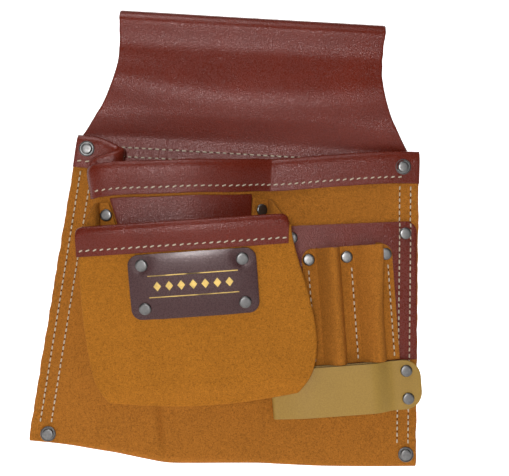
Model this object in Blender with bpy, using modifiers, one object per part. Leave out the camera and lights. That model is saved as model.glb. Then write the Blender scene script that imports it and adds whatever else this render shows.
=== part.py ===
"""Electrician's leather tool pouch.

A smooth-leather yoke folds over into a belt loop. A suede sheet, folded at its
foot, hangs from it as the main pocket. A pleated outer pocket, a pair of tool
loops and a swinging hammer loop are sewn and riveted to the front.

Frame: +Z up, the front faces -Y, +X is to the right seen from the front. The
origin is the middle of the belt tunnel. "Depth" is the distance in front of
the plane y = 0, where the pouch's front and rear suede meet at the side seams.
Lengths are in millimetres until a mesh is made.
"""
import math

import bmesh
import bpy
from mathutils import Matrix, Vector

MM = 0.001

# Leather and fit
GAP = 0.3
SUEDE = 2.0
YOKE_LEATHER = 2.3
TRIM_LEATHER = 1.2
BACKING_LEATHER = 1.5
STRAP_LEATHER = 1.9
BADGE_LEATHER = 1.6

# Body: a tapered pouch with its foot folded, not sewn
BODY_TOP = -42.0
BODY_FOOT = -261.0
HALF_TOP = 121.0
HALF_FOOT = 137.0
FOOT_PLAN_Z = -255.0
FOOT_DROP = 0.85
REAR_TOP = -44.0
REAR_MIDDLE_Y = 1.15
REAR_STEP_Y = 3.75
REAR_STEP_Z = -76.0
REAR_STEP_RISE = 12.0

# Plan curve of the front sheet's middle, as (x, depth), at the mouth and at the
# foot. Points 1 to 7 fold into a pleat at the mouth and open out lower down.
MOUTH_PLAN = [
    (-121.0, 2.8), (-104.0, 3.0), (-89.8, 4.6), (-86.0, 9.6), (-89.8, 14.6), (-103.8, 16.0),
    (-107.5, 20.8), (-103.8, 25.4), (-88.0, 26.8), (-62.0, 27.0), (-34.0, 25.0), (-8.0, 18.0),
    (10.0, 9.5), (20.0, 6.0), (32.0, 6.0), (64.0, 5.6), (98.0, 4.4), (121.0, 2.8),
]
FOOT_PLAN = [
    (-137.0, 1.15), (-122.0, 1.3), (-112.0, 3.0), (-104.0, 5.0), (-96.0, 6.5), (-88.0, 7.5),
    (-79.0, 8.3), (-70.0, 9.0), (-58.0, 9.5), (-42.0, 10.0), (-24.0, 9.5), (-4.0, 8.0),
    (12.0, 5.5), (24.0, 3.6), (38.0, 3.0), (68.0, 2.8), (106.0, 1.9), (137.0, 1.15),
]
MOUTH_HEIGHT = [
    -44.0, -45.0, -50.0, -52.0, -55.0, -60.0, -66.0, -65.0, -62.5, -60.5, -57.8, -56.0,
    -54.0, -53.4, -52.0, -47.6, -43.4, -42.0,
]
PLAN_STEPS = [1, 1, 3, 3, 3, 3, 3, 2, 2, 2, 2, 2, 2, 2, 1, 1, 1]
FRONT_FOLD = 6.6

# Yoke and belt loop
TUNNEL_TOP = 48.5
NECK_HALF = 92.5
NECK_WAIST = 15.0
NECK_FLARE = 24.5
FLARE_POWER = 1.75
YOKE_FRONT_BOTTOM = -62.0
FLAP_BOTTOM = -60.0
FLAP_TOP = 38.0
FLAP_MIDDLE_Y = 6.2
YOKE_MIDDLE_Y = 1.3
YOKE_SWELL = 7.4
YOKE_WAVE = 1.3
YOKE_WAVE_Z = 34.0
YOKE_WAVE_PITCH = 47.0
YOKE_ROWS = [YOKE_FRONT_BOTTOM, -52.0, -43.0, -41.0, -36.0, -30.0, -24.0, -16.0, -8.0, 2.0, 12.0, 22.0, 32.0]
YOKE_FOLD_Z = 40.0
BELT_ROWS = [("upper", -48.0), ("lower", -54.5)]
FLAP_HALF_BOTTOM = 98.0
FLAP_HALF_TOP = 93.5

# Bindings folded over the pocket mouths
BINDING_GAP = 0.55
TRIM_FACE = 20.0
TRIM_INSIDE = 14.0
POCKET_TRIM_FACE = 17.0
POCKET_TRIM_INSIDE = 10.0
POCKET_TRIM_START = 0.045
POCKET_TRIM_END = 0.96

# Outer pocket, laid out on its own slanted axes
POCKET_SLANT = math.radians(7.3)
POCKET_CENTRE = (-27.0, -160.0)
POCKET_DEPTH = 28.5
POCKET_LEAN = 0.15
POCKET_CROWN = 6.0
POCKET_SPREAD = 72.0
POCKET_CURL = 3.5
POCKET_CURL_START = 48.0
POCKET_CURL_RUN = 16.0
POCKET_LEFT = [
    (-107.0, -109.0), (-106.0, -127.0), (-104.0, -155.0),
    (-99.5, -185.0), (-93.0, -211.0), (-83.0, -225.5),
]
POCKET_RIGHT = [
    (33.0, -91.5), (35.5, -108.0), (49.5, -147.0), (56.0, -174.0), (54.5, -196.0), (46.0, -211.0),
]
SEAM_LEFT = [
    (-98.0, -89.0), (-95.0, -120.0), (-92.0, -155.0), (-87.0, -185.0), (-82.0, -205.0), (-74.0, -215.0),
]
SEAM_RIGHT = [
    (19.0, -79.0), (19.0, -108.0), (20.0, -147.0), (22.0, -170.0), (22.0, -188.0), (16.0, -201.0),
]
POCKET_SAG = 5.0
# Rings of the pocket's folded side: share of the way in to the seam, share of the way back
SKIRT = [(0.03, 0.10), (0.35, 0.22), (0.80, 0.34), (0.97, 0.62)]
FLANGE = 12.0
POCKET_COLUMNS = 12
POCKET_ROWS = 9
POCKET_HINGE = (-27.0, 12.0, -222.0)

# Wear patch behind the outer pocket's mouth
PATCH_LEFT = -80.0
PATCH_RIGHT = 5.0
PATCH_BOTTOM = -126.0

# Tool loops, on axes that follow the right-hand edge
LOOP_SLANT = math.radians(7.6)
LOOP_ORIGIN = (75.1, -116.4)
LOOP_RIVETS = [-26.6, 0.0, 27.5]
LOOP_SEAMS = [-27.2, 2.9, 28.5]
LOOP_TUBES = [(-20.8, -5.8), (5.8, 21.8)]
LOOP_LEFT = -31.5
LOOP_RIGHT = 32.0
LOOP_TOP = -7.5
LOOP_BOTTOM = 68.0
LOOP_BULGE_TOP = 12.5
LOOP_BULGE_BOTTOM = 9.0
LOOP_ROUNDNESS = 0.55
LOOP_CORNER = 8.0
BACKING_CORNERS = [(30.0, -97.5), (120.5, -88.5), (127.6, -183.0), (38.0, -192.0)]
BACKING_ROUND = 8.0

# Hammer loop: a strap folded double, riveted at its right end
STRAP_SLANT = math.radians(7.5)
STRAP_CENTRE = (76.0, -209.3)
STRAP_WIDTH = 34.5
STRAP_LEFT = -48.0
STRAP_RIGHT = 57.0
STRAP_REAR_DEPTH = 5.95
STRAP_OPENING = 4.4
STRAP_PINCH = 38.0
STRAP_ROUND = 12.0
STRAP_RIVET = 47.0
STRAP_RIVET_SPREAD = 9.7
STRAP_HINGE = 36.0

# Badge
BADGE_CENTRE = (-28.7, -139.7)
BADGE_HALF_WIDTH = 42.7
BADGE_HALF_HEIGHT = 21.8
BADGE_ROUND = 7.0
BADGE_RIVET_X = 33.5
BADGE_RIVET_Z = 14.6

# Rivets and cup washers
POST_RADIUS = 1.6
HOLE_RADIUS = 2.0
CAP_RADIUS = 4.2
CAP_HEIGHT = 1.9
BURR_RADIUS = 4.0
BURR_HEIGHT = 1.3
WASHER_RADIUS = 5.4
WASHER_HEIGHT = 1.3
WASHER_FLOOR = 0.7
RIVET_SIDES = 12

TOP_RIVET = (111.3, -51.0)
LOW_LEFT_RIVET = (-127.6, -253.4)
LOW_RIGHT_RIVET = (125.5, -253.4)
EAR_RIVETS = [("left", -91.5, -97.0), ("right", 12.6, -87.0)]
BACKING_LEFT_RIVET = (36.0, -105.4)
BACKING_RIGHT_RIVET_Z = -97.6

# Thread
THREAD_RADIUS = 0.35
SIDE_ROWS = [("outer", 5.6), ("inner", 13.4)]
LEFT_ROW_TOP = -66.0
LEFT_ROW_BOTTOM = -245.0
RIGHT_ROW_ABOVE_BACKING = [-64.5, -74.0, -84.0]
RIGHT_ROW_ON_BACKING = [-88.0, -110.0, -140.0, -170.0, -183.5]
RIGHT_ROW_BELOW_BACKING = [-186.0, -205.0, -225.0, -246.0]
MAIN_ROW_RISE = 4.5
POCKET_ROW_RISE = 4.0


def clamp(value):
    """Limit a value to the range 0 to 1."""
    return max(0.0, min(1.0, value))


def mix(a, b, share):
    """Blend two numbers."""
    return a + (b - a) * share


def ease(value):
    """Smooth step between 0 and 1."""
    share = clamp(value)
    return share * share * (3.0 - 2.0 * share)


def mix_points(a, b, share):
    """Blend two tuples of numbers."""
    return tuple(mix(p, q, share) for p, q in zip(a, b))


def spline(points, position):
    """Point on a smooth curve through a list of tuples, at a fractional index."""
    last = len(points) - 1
    index = min(int(max(position, 0.0)), last - 1)
    t = min(max(position - index, 0.0), 1.0)
    before = points[max(index - 1, 0)]
    start = points[index]
    end = points[index + 1]
    after = points[min(index + 2, last)]
    result = []
    for p0, p1, p2, p3 in zip(before, start, end, after):
        slope_in = (p2 - p0) / 2.0
        slope_out = (p3 - p1) / 2.0
        value = p1 * (2 * t ** 3 - 3 * t ** 2 + 1) + slope_in * (t ** 3 - 2 * t ** 2 + t)
        value += p2 * (3 * t ** 2 - 2 * t ** 3) + slope_out * (t ** 3 - t ** 2)
        result.append(value)
    return tuple(result)


def place(x, depth, z):
    """A point in metres, from x, depth in front of the seam plane and height."""
    return Vector((x * MM, -depth * MM, z * MM))


def slanted(centre, slant, along, across):
    """x and z of a point given on axes turned anticlockwise by slant."""
    x = centre[0] + along * math.cos(slant) - across * math.sin(slant)
    z = centre[1] + along * math.sin(slant) + across * math.cos(slant)
    return x, z


# ---------------------------------------------------------------- surfaces

def half_width(z):
    """Half the body's width at a height."""
    return mix(HALF_TOP, HALF_FOOT, (BODY_TOP - z) / (BODY_TOP - BODY_FOOT))


def plan_share(z):
    """0 at the mouth's plan curve, 1 at the foot's."""
    return clamp((BODY_TOP - z) / (BODY_TOP - FOOT_PLAN_Z))


def front_sheet(position, z):
    """x and depth of the front sheet's middle, at a point along its plan curve."""
    top = spline(MOUTH_PLAN, position)
    foot = spline(FOOT_PLAN, position)
    return mix_points(top, foot, plan_share(z))


def front_position(x, z):
    """Place along the plan curve where the visible part of the front has this x."""
    low = FRONT_FOLD
    high = len(MOUTH_PLAN) - 1.0
    for _ in range(30):
        middle = (low + high) / 2.0
        if front_sheet(middle, z)[0] < x:
            low = middle
        else:
            high = middle
    return (low + high) / 2.0


def front_face(x, z):
    """Depth of the front sheet's outer face."""
    return front_sheet(front_position(x, z), z)[1] + SUEDE / 2.0


def seam_face(z):
    """Depth of the front sheet's outer face in the flat of the left seam."""
    share = plan_share(z)
    top = mix(MOUTH_PLAN[0][1], MOUTH_PLAN[1][1], 0.5)
    foot = mix(FOOT_PLAN[0][1], FOOT_PLAN[1][1], 0.5)
    return mix(top, foot, share) + SUEDE / 2.0


def mouth_height(position):
    """Height of the front sheet's top edge along its plan curve."""
    return spline([(z,) for z in MOUTH_HEIGHT], position)[0]


def rear_middle_y(z):
    """Rear sheet's middle: it steps back at the top to lie behind the yoke."""
    return mix(REAR_MIDDLE_Y, REAR_STEP_Y, ease((z - REAR_STEP_Z) / REAR_STEP_RISE))


def pocket_middle(x, z):
    """Depth of the outer pocket's front sheet, at its middle."""
    dx = x - POCKET_CENTRE[0]
    dz = z - POCKET_CENTRE[1]
    along = dx * math.cos(POCKET_SLANT) + dz * math.sin(POCKET_SLANT)
    up = -dx * math.sin(POCKET_SLANT) + dz * math.cos(POCKET_SLANT)
    crown = POCKET_CROWN * (1.0 - (along / POCKET_SPREAD) ** 2)
    curl = POCKET_CURL * ease((-POCKET_CURL_START - up) / POCKET_CURL_RUN)
    return POCKET_DEPTH + POCKET_LEAN * up + crown - curl


def pocket_layout(column, row):
    """x and z on the outer pocket's front, column and row from 0 to 1."""
    last = len(POCKET_LEFT) - 1
    left = spline(POCKET_LEFT, row * last)
    right = spline(POCKET_RIGHT, row * last)
    x, z = mix_points(left, right, column)
    return x, z - POCKET_SAG * math.sin(math.pi * column) * row ** 4


def loop_offset(along, down):
    """How far the tool-loop strip's middle stands off its flat parts."""
    height = mix(LOOP_BULGE_TOP, LOOP_BULGE_BOTTOM, clamp(down / LOOP_BOTTOM))
    for left, right in LOOP_TUBES:
        if left < along < right:
            return height * math.sin(math.pi * (along - left) / (right - left)) ** LOOP_ROUNDNESS
    return 0.0


# ---------------------------------------------------------------- building

def new_collection(name):
    """A collection linked to the scene."""
    collection = bpy.data.collections.new(name)
    bpy.context.scene.collection.children.link(collection)
    return collection


def make_material(name, colour, roughness, metallic=0.0):
    """A plain Principled material."""
    material = bpy.data.materials.new(name)
    material.use_nodes = True
    shader = material.node_tree.nodes["Principled BSDF"]
    shader.inputs["Base Color"].default_value = (*colour, 1.0)
    shader.inputs["Roughness"].default_value = roughness
    shader.inputs["Metallic"].default_value = metallic
    return material


def add_object(name, data, material, collection):
    """An object with one material, linked to a collection."""
    thing = bpy.data.objects.new(name, data)
    if material and not data.materials:
        data.materials.append(material)
    collection.objects.link(thing)
    return thing


def grid_mesh(name, rows):
    """A quad mesh through rows of points."""
    mesh = bpy.data.meshes.new(name)
    width = len(rows[0])
    points = [point for row in rows for point in row]
    faces = []
    for j in range(len(rows) - 1):
        for i in range(width - 1):
            corner = j * width + i
            faces.append((corner, corner + 1, corner + width + 1, corner + width))
    mesh.from_pydata(points, [], faces)
    mesh.shade_smooth()
    return mesh


def thicken(thing, thickness):
    """Give an open sheet its leather thickness, half to each side."""
    shell = thing.modifiers.new("leather", "SOLIDIFY")
    shell.thickness = thickness * MM
    shell.offset = 0.0
    shell.use_even_offset = True
    shell.use_rim = True
    return shell


def sheet(name, rows, thickness, look):
    """A leather sheet from rows of points on its middle surface."""
    thing = add_object(name, grid_mesh(name, rows), MATERIALS[look], PARTS)
    thicken(thing, thickness)
    return thing


def turned(name, profile, look):
    """A turned piece from a profile of (radius, height) run down its outer side."""
    mesh = bpy.data.meshes.new(name)
    points = [(radius * MM, 0.0, height * MM) for radius, height in profile]
    edges = [(i, i + 1) for i in range(len(points) - 1)]
    mesh.from_pydata(points, edges, [])
    thing = add_object(name, mesh, MATERIALS[look], PARTS)
    screw = thing.modifiers.new("turn", "SCREW")
    screw.steps = RIVET_SIDES
    screw.render_steps = RIVET_SIDES
    screw.use_merge_vertices = True
    screw.merge_threshold = 0.00001
    screw.use_smooth_shade = False
    return thing


def closed(profile):
    """Repeat a profile's first point at its end."""
    return profile + [profile[0]]


def aim(thing, seat, normal):
    """Put a turned piece on a surface, its axis along the surface normal."""
    thing.location = seat
    thing.rotation_euler = normal.to_track_quat("Z", "Y").to_euler()


def cut_holes(thing, rivets):
    """Cut a clearance hole for each rivet post through a leather piece."""
    mesh = bpy.data.meshes.new(thing.name + "_holes")
    shape = bmesh.new()
    for seat, normal, reach in rivets:
        turn = Matrix.Translation(seat - normal * reach * MM / 2.0)
        turn = turn @ normal.to_track_quat("Z", "Y").to_matrix().to_4x4()
        bmesh.ops.create_cone(
            shape, cap_ends=True, segments=RIVET_SIDES, radius1=HOLE_RADIUS * MM,
            radius2=HOLE_RADIUS * MM, depth=(reach + 8.0) * MM, matrix=turn)
    shape.to_mesh(mesh)
    shape.free()
    cutter = add_object(thing.name + "_holes", mesh, None, CUTTERS)
    cutter.hide_render = True
    cutter.display_type = "WIRE"
    cut = thing.modifiers.new("rivet holes", "BOOLEAN")
    cut.object = cutter
    cut.operation = "DIFFERENCE"


def thread(name, points):
    """A row of stitching as one laid thread."""
    curve = bpy.data.curves.new(name, "CURVE")
    curve.dimensions = "3D"
    curve.bevel_depth = THREAD_RADIUS * MM
    curve.bevel_resolution = 0
    curve.use_fill_caps = True
    line = curve.splines.new("POLY")
    line.points.add(len(points) - 1)
    for target, point in zip(line.points, points):
        target.co = (*point, 1.0)
    return add_object(name, curve, MATERIALS["thread"], PARTS)


def rivet(name, x, z, face, stack, washer=False, lift=0.0, normal=Vector((0.0, -1.0, 0.0))):
    """A two-part rivet: cap with its post in front, burr behind, optional cup washer.

    face is the depth of the leather under the cap, stack the leather it grips.
    Returns what cut_holes needs.
    """
    seat = place(x, face, z)
    base = GAP + lift
    if washer:
        rim = WASHER_RADIUS
        ring = [
            (rim, GAP + WASHER_HEIGHT), (rim, GAP), (HOLE_RADIUS, GAP),
            (HOLE_RADIUS, GAP + WASHER_FLOOR), (rim - 0.75, GAP + WASHER_FLOOR),
            (rim - 0.75, GAP + WASHER_HEIGHT),
        ]
        aim(turned(name + "_washer", closed(ring), "nickel"), seat, normal)
        base = 2.0 * GAP + WASHER_FLOOR
    cap = [
        (0.0, base + CAP_HEIGHT), (CAP_RADIUS * 0.6, base + CAP_HEIGHT * 0.88),
        (CAP_RADIUS, base + CAP_HEIGHT * 0.45), (CAP_RADIUS, base),
        (POST_RADIUS, base), (POST_RADIUS, -stack), (0.0, -stack),
    ]
    aim(turned(name + "_cap", cap, "nickel"), seat, normal)
    burr = [
        (0.0, -stack - GAP), (BURR_RADIUS, -stack - GAP),
        (BURR_RADIUS, -stack - GAP - BURR_HEIGHT * 0.6), (BURR_RADIUS * 0.6, -stack - GAP - BURR_HEIGHT),
        (0.0, -stack - GAP - BURR_HEIGHT),
    ]
    aim(turned(name + "_burr", burr, "nickel"), seat, normal)
    return seat, normal, stack


# ---------------------------------------------------------------- main body

def plan_stops():
    """Places along the plan curve where columns of the mesh stand."""
    stops = []
    for index, steps in enumerate(PLAN_STEPS):
        for step in range(steps):
            stops.append(index + step / steps)
    stops.append(float(len(PLAN_STEPS)))
    return stops


def body_column(position):
    """Points down the rear sheet, round the foot and up the front to the mouth."""
    foot_x, foot_depth = spline(FOOT_PLAN, position)
    rear_y = rear_middle_y(BODY_FOOT)
    radius = (rear_y + foot_depth) / 2.0
    lowest = BODY_FOOT - FOOT_DROP * (foot_depth - FOOT_PLAN[0][1])
    centre_z = lowest + radius
    centre_depth = foot_depth - radius
    points = []
    for z in (REAR_TOP, -63.0, -70.0, -77.0, -170.0):
        x = foot_x * half_width(z) / HALF_FOOT
        points.append(place(x, -rear_middle_y(z), z))
    for step in range(6):
        angle = math.pi * step / 5.0
        depth = centre_depth - radius * math.cos(angle)
        points.append(place(foot_x, depth, centre_z - radius * math.sin(angle)))
    top = mouth_height(position)
    for step in range(1, 9):
        z = mix(centre_z, top, step / 8.0)
        x, depth = front_sheet(position, z)
        points.append(place(x, depth, z))
    return points


def make_body():
    """The main pocket: one suede sheet folded at its foot."""
    columns = [body_column(stop) for stop in plan_stops()]
    rows = [list(row) for row in zip(*columns)]
    return sheet("main_pocket_body", rows, SUEDE, "suede")


def yoke_half(z):
    """Half the yoke's width at a height on its front."""
    if z >= NECK_WAIST:
        return NECK_HALF + ((z - NECK_WAIST) / (TUNNEL_TOP - NECK_WAIST)) ** 1.5
    if z > BODY_TOP + 0.5:
        return NECK_HALF + NECK_FLARE * ((NECK_WAIST - z) / (NECK_WAIST - BODY_TOP)) ** FLARE_POWER
    return half_width(z)


def yoke_front_depth(z):
    """The yoke's front swells twice between its seam and its fold."""
    rise = ease((z - BODY_TOP) / 20.0)
    swell = YOKE_SWELL + YOKE_WAVE * math.cos((z - YOKE_WAVE_Z) * 2.0 * math.pi / YOKE_WAVE_PITCH)
    return mix(-YOKE_MIDDLE_Y, swell, rise)


def yoke_row(x_half, depth, z):
    """One row of yoke points across its width."""
    return [place(x_half * (i / 5.0 - 1.0), depth, z) for i in range(11)]


def make_yoke():
    """The smooth yoke, folded over at the top to make the belt loop."""
    rows = []
    for z in YOKE_ROWS + [YOKE_FOLD_Z]:
        rows.append(yoke_row(yoke_half(z), yoke_front_depth(z), z))
    front = yoke_front_depth(YOKE_FOLD_Z)
    middle = (front - FLAP_MIDDLE_Y) / 2.0
    radius = (front + FLAP_MIDDLE_Y) / 2.0
    rise = TUNNEL_TOP - YOKE_LEATHER / 2.0 - YOKE_FOLD_Z
    for step in range(1, 6):
        angle = math.pi * step / 6.0
        depth = middle + radius * math.cos(angle)
        rows.append(yoke_row(FLAP_HALF_TOP, depth, YOKE_FOLD_Z + rise * math.sin(angle)))
    for z in (FLAP_TOP, 0.0, -36.0, FLAP_BOTTOM):
        half = mix(FLAP_HALF_TOP, FLAP_HALF_BOTTOM, (FLAP_TOP - z) / (FLAP_TOP - FLAP_BOTTOM))
        rows.append(yoke_row(half, -FLAP_MIDDLE_Y, z))
    return sheet("belt_loop_yoke", rows, YOKE_LEATHER, "oxblood")


def binding(name, edge_points, stops, face, inside):
    """A smooth strip folded over a pocket mouth.

    edge_points(stop, drop) gives a middle point of the bound sheet a distance
    below its edge, and the sheet's outward normal there.
    """
    stand = SUEDE / 2.0 + BINDING_GAP + TRIM_LEATHER / 2.0
    columns = []
    for stop in stops:
        points = []
        for drop in (face, face * 0.5, 0.0):
            point, normal = edge_points(stop, drop)
            points.append(point + normal * stand * MM)
        top, normal = edge_points(stop, 0.0)
        below, _ = edge_points(stop, 1.0)
        up = (top - below).normalized()
        for angle in (45.0, 90.0, 135.0):
            turn = math.radians(angle)
            points.append(top + (normal * math.cos(turn) + up * math.sin(turn)) * stand * MM)
        for drop in (0.0, inside):
            point, normal = edge_points(stop, drop)
            points.append(point - normal * stand * MM)
        columns.append(points)
    rows = [list(row) for row in zip(*columns)]
    return sheet(name, rows, TRIM_LEATHER, "oxblood")


def main_edge(stop, drop):
    """Middle point and outward normal of the main front below its mouth."""
    z = mouth_height(stop) - drop
    here = place(*front_sheet(stop, z), z)
    step = 0.05
    before = place(*front_sheet(max(stop - step, 0.0), z), z)
    after = place(*front_sheet(min(stop + step, len(MOUTH_PLAN) - 1.0), z), z)
    below = place(*front_sheet(stop, z - 1.0), z - 1.0)
    normal = (after - before).cross(here - below)
    return here, normal.normalized()


# ---------------------------------------------------------------- outer pocket

def pocket_edge(stop, drop):
    """Middle point and outward normal of the outer pocket's front below its mouth."""
    x, z = pocket_layout(stop, 0.0)
    lower_x, lower_z = pocket_layout(stop, 0.1)
    length = math.hypot(lower_x - x, lower_z - z)
    x += (lower_x - x) * drop / length
    z += (lower_z - z) * drop / length
    here = place(x, pocket_middle(x, z), z)
    right = place(x + 1.0, pocket_middle(x + 1.0, z), z)
    below = place(x, pocket_middle(x, z - 1.0), z - 1.0)
    return here, (right - here).cross(here - below).normalized()


def pocket_stops():
    """Columns of the outer pocket where its binding has points."""
    return [mix(POCKET_TRIM_START, POCKET_TRIM_END, i / 12.0) for i in range(13)]


def pocket_rim():
    """Outline of the pocket's front and its seam line, in step, down, across and up."""
    last = len(POCKET_LEFT) - 1
    pairs = []
    for j in range(POCKET_ROWS):
        share = j / POCKET_ROWS
        pairs.append(((0.0, share), spline(SEAM_LEFT, share * last), (1.0, 0.0)))
    for i in range(POCKET_COLUMNS + 1):
        share = i / POCKET_COLUMNS
        seam = mix_points(SEAM_LEFT[-1], SEAM_RIGHT[-1], share)
        inward = (1.0 - 2.0 * share, 1.0)
        pairs.append(((share, 1.0), seam, inward))
    for j in range(POCKET_ROWS - 1, -1, -1):
        share = j / POCKET_ROWS
        pairs.append(((1.0, share), spline(SEAM_RIGHT, share * last), (-1.0, 0.0)))
    return pairs


def pocket_front():
    """Points and faces of the pocket's front, and the indices round its three sewn sides."""
    points = []
    faces = []
    for j in range(POCKET_ROWS + 1):
        for i in range(POCKET_COLUMNS + 1):
            x, z = pocket_layout(i / POCKET_COLUMNS, j / POCKET_ROWS)
            points.append(place(x, pocket_middle(x, z), z))
    width = POCKET_COLUMNS + 1
    for j in range(POCKET_ROWS):
        for i in range(POCKET_COLUMNS):
            corner = j * width + i
            faces.append((corner, corner + 1, corner + width + 1, corner + width))
    ring = [j * width for j in range(POCKET_ROWS)]
    ring += [POCKET_ROWS * width + i for i in range(width)]
    ring += [j * width + POCKET_COLUMNS for j in range(POCKET_ROWS - 1, -1, -1)]
    return points, faces, ring


def skirt_point(rim_point, inward_share, back_share):
    """A point of the pocket's folded side, or of the flange sewn to the main pocket."""
    (column, row), seam, inward = rim_point
    stand = 2.0 * GAP + SUEDE / 2.0
    edge = pocket_layout(column, row)
    x, z = mix_points(edge, seam, min(inward_share, 1.0))
    if inward_share > 1.0:
        length = math.hypot(*inward)
        x += inward[0] / length * FLANGE
        z += inward[1] / length * FLANGE
    depth = mix(pocket_middle(*edge), front_face(*seam) + stand, back_share)
    if back_share >= 1.0:
        depth = front_face(x, z) + stand
    return place(x, depth, z)


def make_outer_pocket():
    """The outer pocket: a crowned front whose edges fold back to the main pocket."""
    points, faces, ring = pocket_front()
    rim = pocket_rim()
    for inward_share, back_share in SKIRT + [(1.0, 1.0), (2.0, 1.0)]:
        new_ring = []
        for rim_point in rim:
            new_ring.append(len(points))
            points.append(skirt_point(rim_point, inward_share, back_share))
        for i in range(len(ring) - 1):
            faces.append((ring[i], ring[i + 1], new_ring[i + 1], new_ring[i]))
        ring = new_ring
    mesh = bpy.data.meshes.new("outer_pocket_panel")
    mesh.from_pydata(points, [], faces)
    mesh.shade_smooth()
    thing = add_object("outer_pocket_panel", mesh, MATERIALS["suede"], PARTS)
    thicken(thing, SUEDE)
    return thing


# ---------------------------------------------------------------- laid pieces

def rounded_half(across, half_height, radius):
    """How much a rounded rectangle's row shortens at a height from its middle."""
    beyond = abs(across) - (half_height - radius)
    if beyond <= 0.0:
        return 0.0
    return radius - math.sqrt(max(radius * radius - beyond * beyond, 0.0))


def make_badge():
    """The riveted badge, following the outer pocket's crown."""
    stand = SUEDE / 2.0 + GAP + BADGE_LEATHER / 2.0
    heights = [-1.0, -0.93, -0.8, -0.68, 0.0, 0.68, 0.8, 0.93, 1.0]
    rows = []
    for share in heights:
        across = share * BADGE_HALF_HEIGHT
        half = BADGE_HALF_WIDTH - rounded_half(across, BADGE_HALF_HEIGHT, BADGE_ROUND)
        row = []
        for i in range(9):
            x, z = slanted(BADGE_CENTRE, POCKET_SLANT, half * (i / 4.0 - 1.0), across)
            row.append(place(x, pocket_middle(x, z) + stand, z))
        rows.append(row)
    return sheet("badge", rows, BADGE_LEATHER, "badge_leather")


def make_patch():
    """The smooth patch that takes the wear behind the outer pocket's mouth."""
    stand = GAP + TRIM_LEATHER / 2.0
    rows = []
    for j in range(7):
        row = []
        for i in range(9):
            x = mix(PATCH_LEFT, PATCH_RIGHT, i / 8.0)
            top = mouth_height(front_position(x, -80.0)) - TRIM_FACE - 1.0
            z = mix(top, PATCH_BOTTOM, j / 6.0)
            row.append(place(x, front_face(x, z) + stand, z))
        rows.append(row)
    return sheet("wear_patch", rows, TRIM_LEATHER, "oxblood")


def make_backing():
    """The smooth backing behind the tool loops."""
    top_left, top_right, bottom_right, bottom_left = BACKING_CORNERS
    stand = GAP + BACKING_LEATHER / 2.0
    height = top_right[1] - bottom_right[1]
    rows = []
    for share in (0.0, 0.006, 0.025, 0.05, 0.085, 0.3, 0.5, 0.75, 1.0):
        left = mix_points(top_left, bottom_left, share)
        right = mix_points(top_right, bottom_right, share)
        shorten = rounded_half(height * (1.0 - share), height, BACKING_ROUND)
        width = right[0] - left[0]
        row = []
        for i in range(9):
            x, z = mix_points(left, right, (1.0 - shorten / width) * i / 8.0)
            row.append(place(x, front_face(x, z) + stand, z))
        rows.append(row)
    return sheet("tool_loop_backing", rows, BACKING_LEATHER, "oxblood")


def loop_point(along, down):
    """x and z on the tool loops' own axes, down measured from the rivets."""
    return slanted(LOOP_ORIGIN, LOOP_SLANT, along, -down)


def loop_stand():
    """Depth of the strip's middle over the main front, on its flat parts."""
    return GAP + BACKING_LEATHER + GAP + SUEDE / 2.0


def make_tool_loops():
    """One suede strip that rises into two tubes between its stitched lines."""
    stops = [LOOP_LEFT]
    for left, right in LOOP_TUBES:
        for share in (0.0, 0.04, 0.18, 0.5, 0.82, 0.96, 1.0):
            stops.append(mix(left, right, share))
    stops.append(LOOP_RIGHT)
    middle = (LOOP_LEFT + LOOP_RIGHT) / 2.0
    rows = []
    for share in (0.0, 0.012, 0.04, 0.1, 0.4, 0.7, 1.0):
        down = mix(LOOP_TOP, LOOP_BOTTOM, share)
        shorten = rounded_half(LOOP_BOTTOM - down, LOOP_BOTTOM - LOOP_TOP, LOOP_CORNER)
        squeeze = 1.0 - shorten / (LOOP_RIGHT - middle)
        row = []
        for stop in stops:
            along = stop
            if stop in (LOOP_LEFT, LOOP_RIGHT):
                along = middle + (stop - middle) * squeeze
            x, z = loop_point(along, down)
            row.append(place(x, front_face(x, z) + loop_stand() + loop_offset(stop, down), z))
        rows.append(row)
    return sheet("tool_loop_strip", rows, SUEDE, "suede")


def strap_path():
    """Run of the folded strap's middle, as (along, depth), from rear end to front end."""
    radius = (STRAP_OPENING + STRAP_LEATHER) / 2.0
    rear = STRAP_REAR_DEPTH
    front = rear + 2.0 * radius
    pinched = rear + STRAP_LEATHER + GAP
    turn = STRAP_LEFT + STRAP_LEATHER / 2.0 + radius
    path = [(STRAP_RIGHT, rear), (STRAP_PINCH, rear), (10.0, rear), (turn, rear)]
    for step in range(1, 6):
        angle = math.pi * step / 6.0
        path.append((turn - radius * math.sin(angle), rear + radius * (1.0 - math.cos(angle))))
    path.append((turn, front))
    path.append((10.0, front))
    for share in (0.0, 0.25, 0.5, 0.75, 1.0):
        along = mix(STRAP_PINCH - 16.0, STRAP_PINCH, share)
        path.append((along, mix(front, pinched, ease(share))))
    path.append((STRAP_RIGHT, pinched))
    return path


def make_strap():
    """The hammer loop: a strap folded double, its ends rounded at the rivets."""
    rows = []
    for share in (-1.0, -0.9, -0.7, -0.35, 0.35, 0.7, 0.9, 1.0):
        across = share * STRAP_WIDTH / 2.0
        shorten = rounded_half(across, STRAP_WIDTH / 2.0, STRAP_ROUND)
        row = []
        for along, depth in strap_path():
            if along == STRAP_RIGHT:
                along -= shorten
            x, z = slanted(STRAP_CENTRE, STRAP_SLANT, along, across)
            row.append(place(x, depth, z))
        rows.append(row)
    return sheet("hammer_loop_strap", rows, STRAP_LEATHER, "buff")


# ---------------------------------------------------------------- fastenings

def front_normal(x, z):
    """Outward normal of the main front."""
    here = place(x, front_face(x, z), z)
    right = place(x + 1.0, front_face(x + 1.0, z), z)
    below = place(x, front_face(x, z - 1.0), z - 1.0)
    return (right - here).cross(here - below).normalized()


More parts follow.
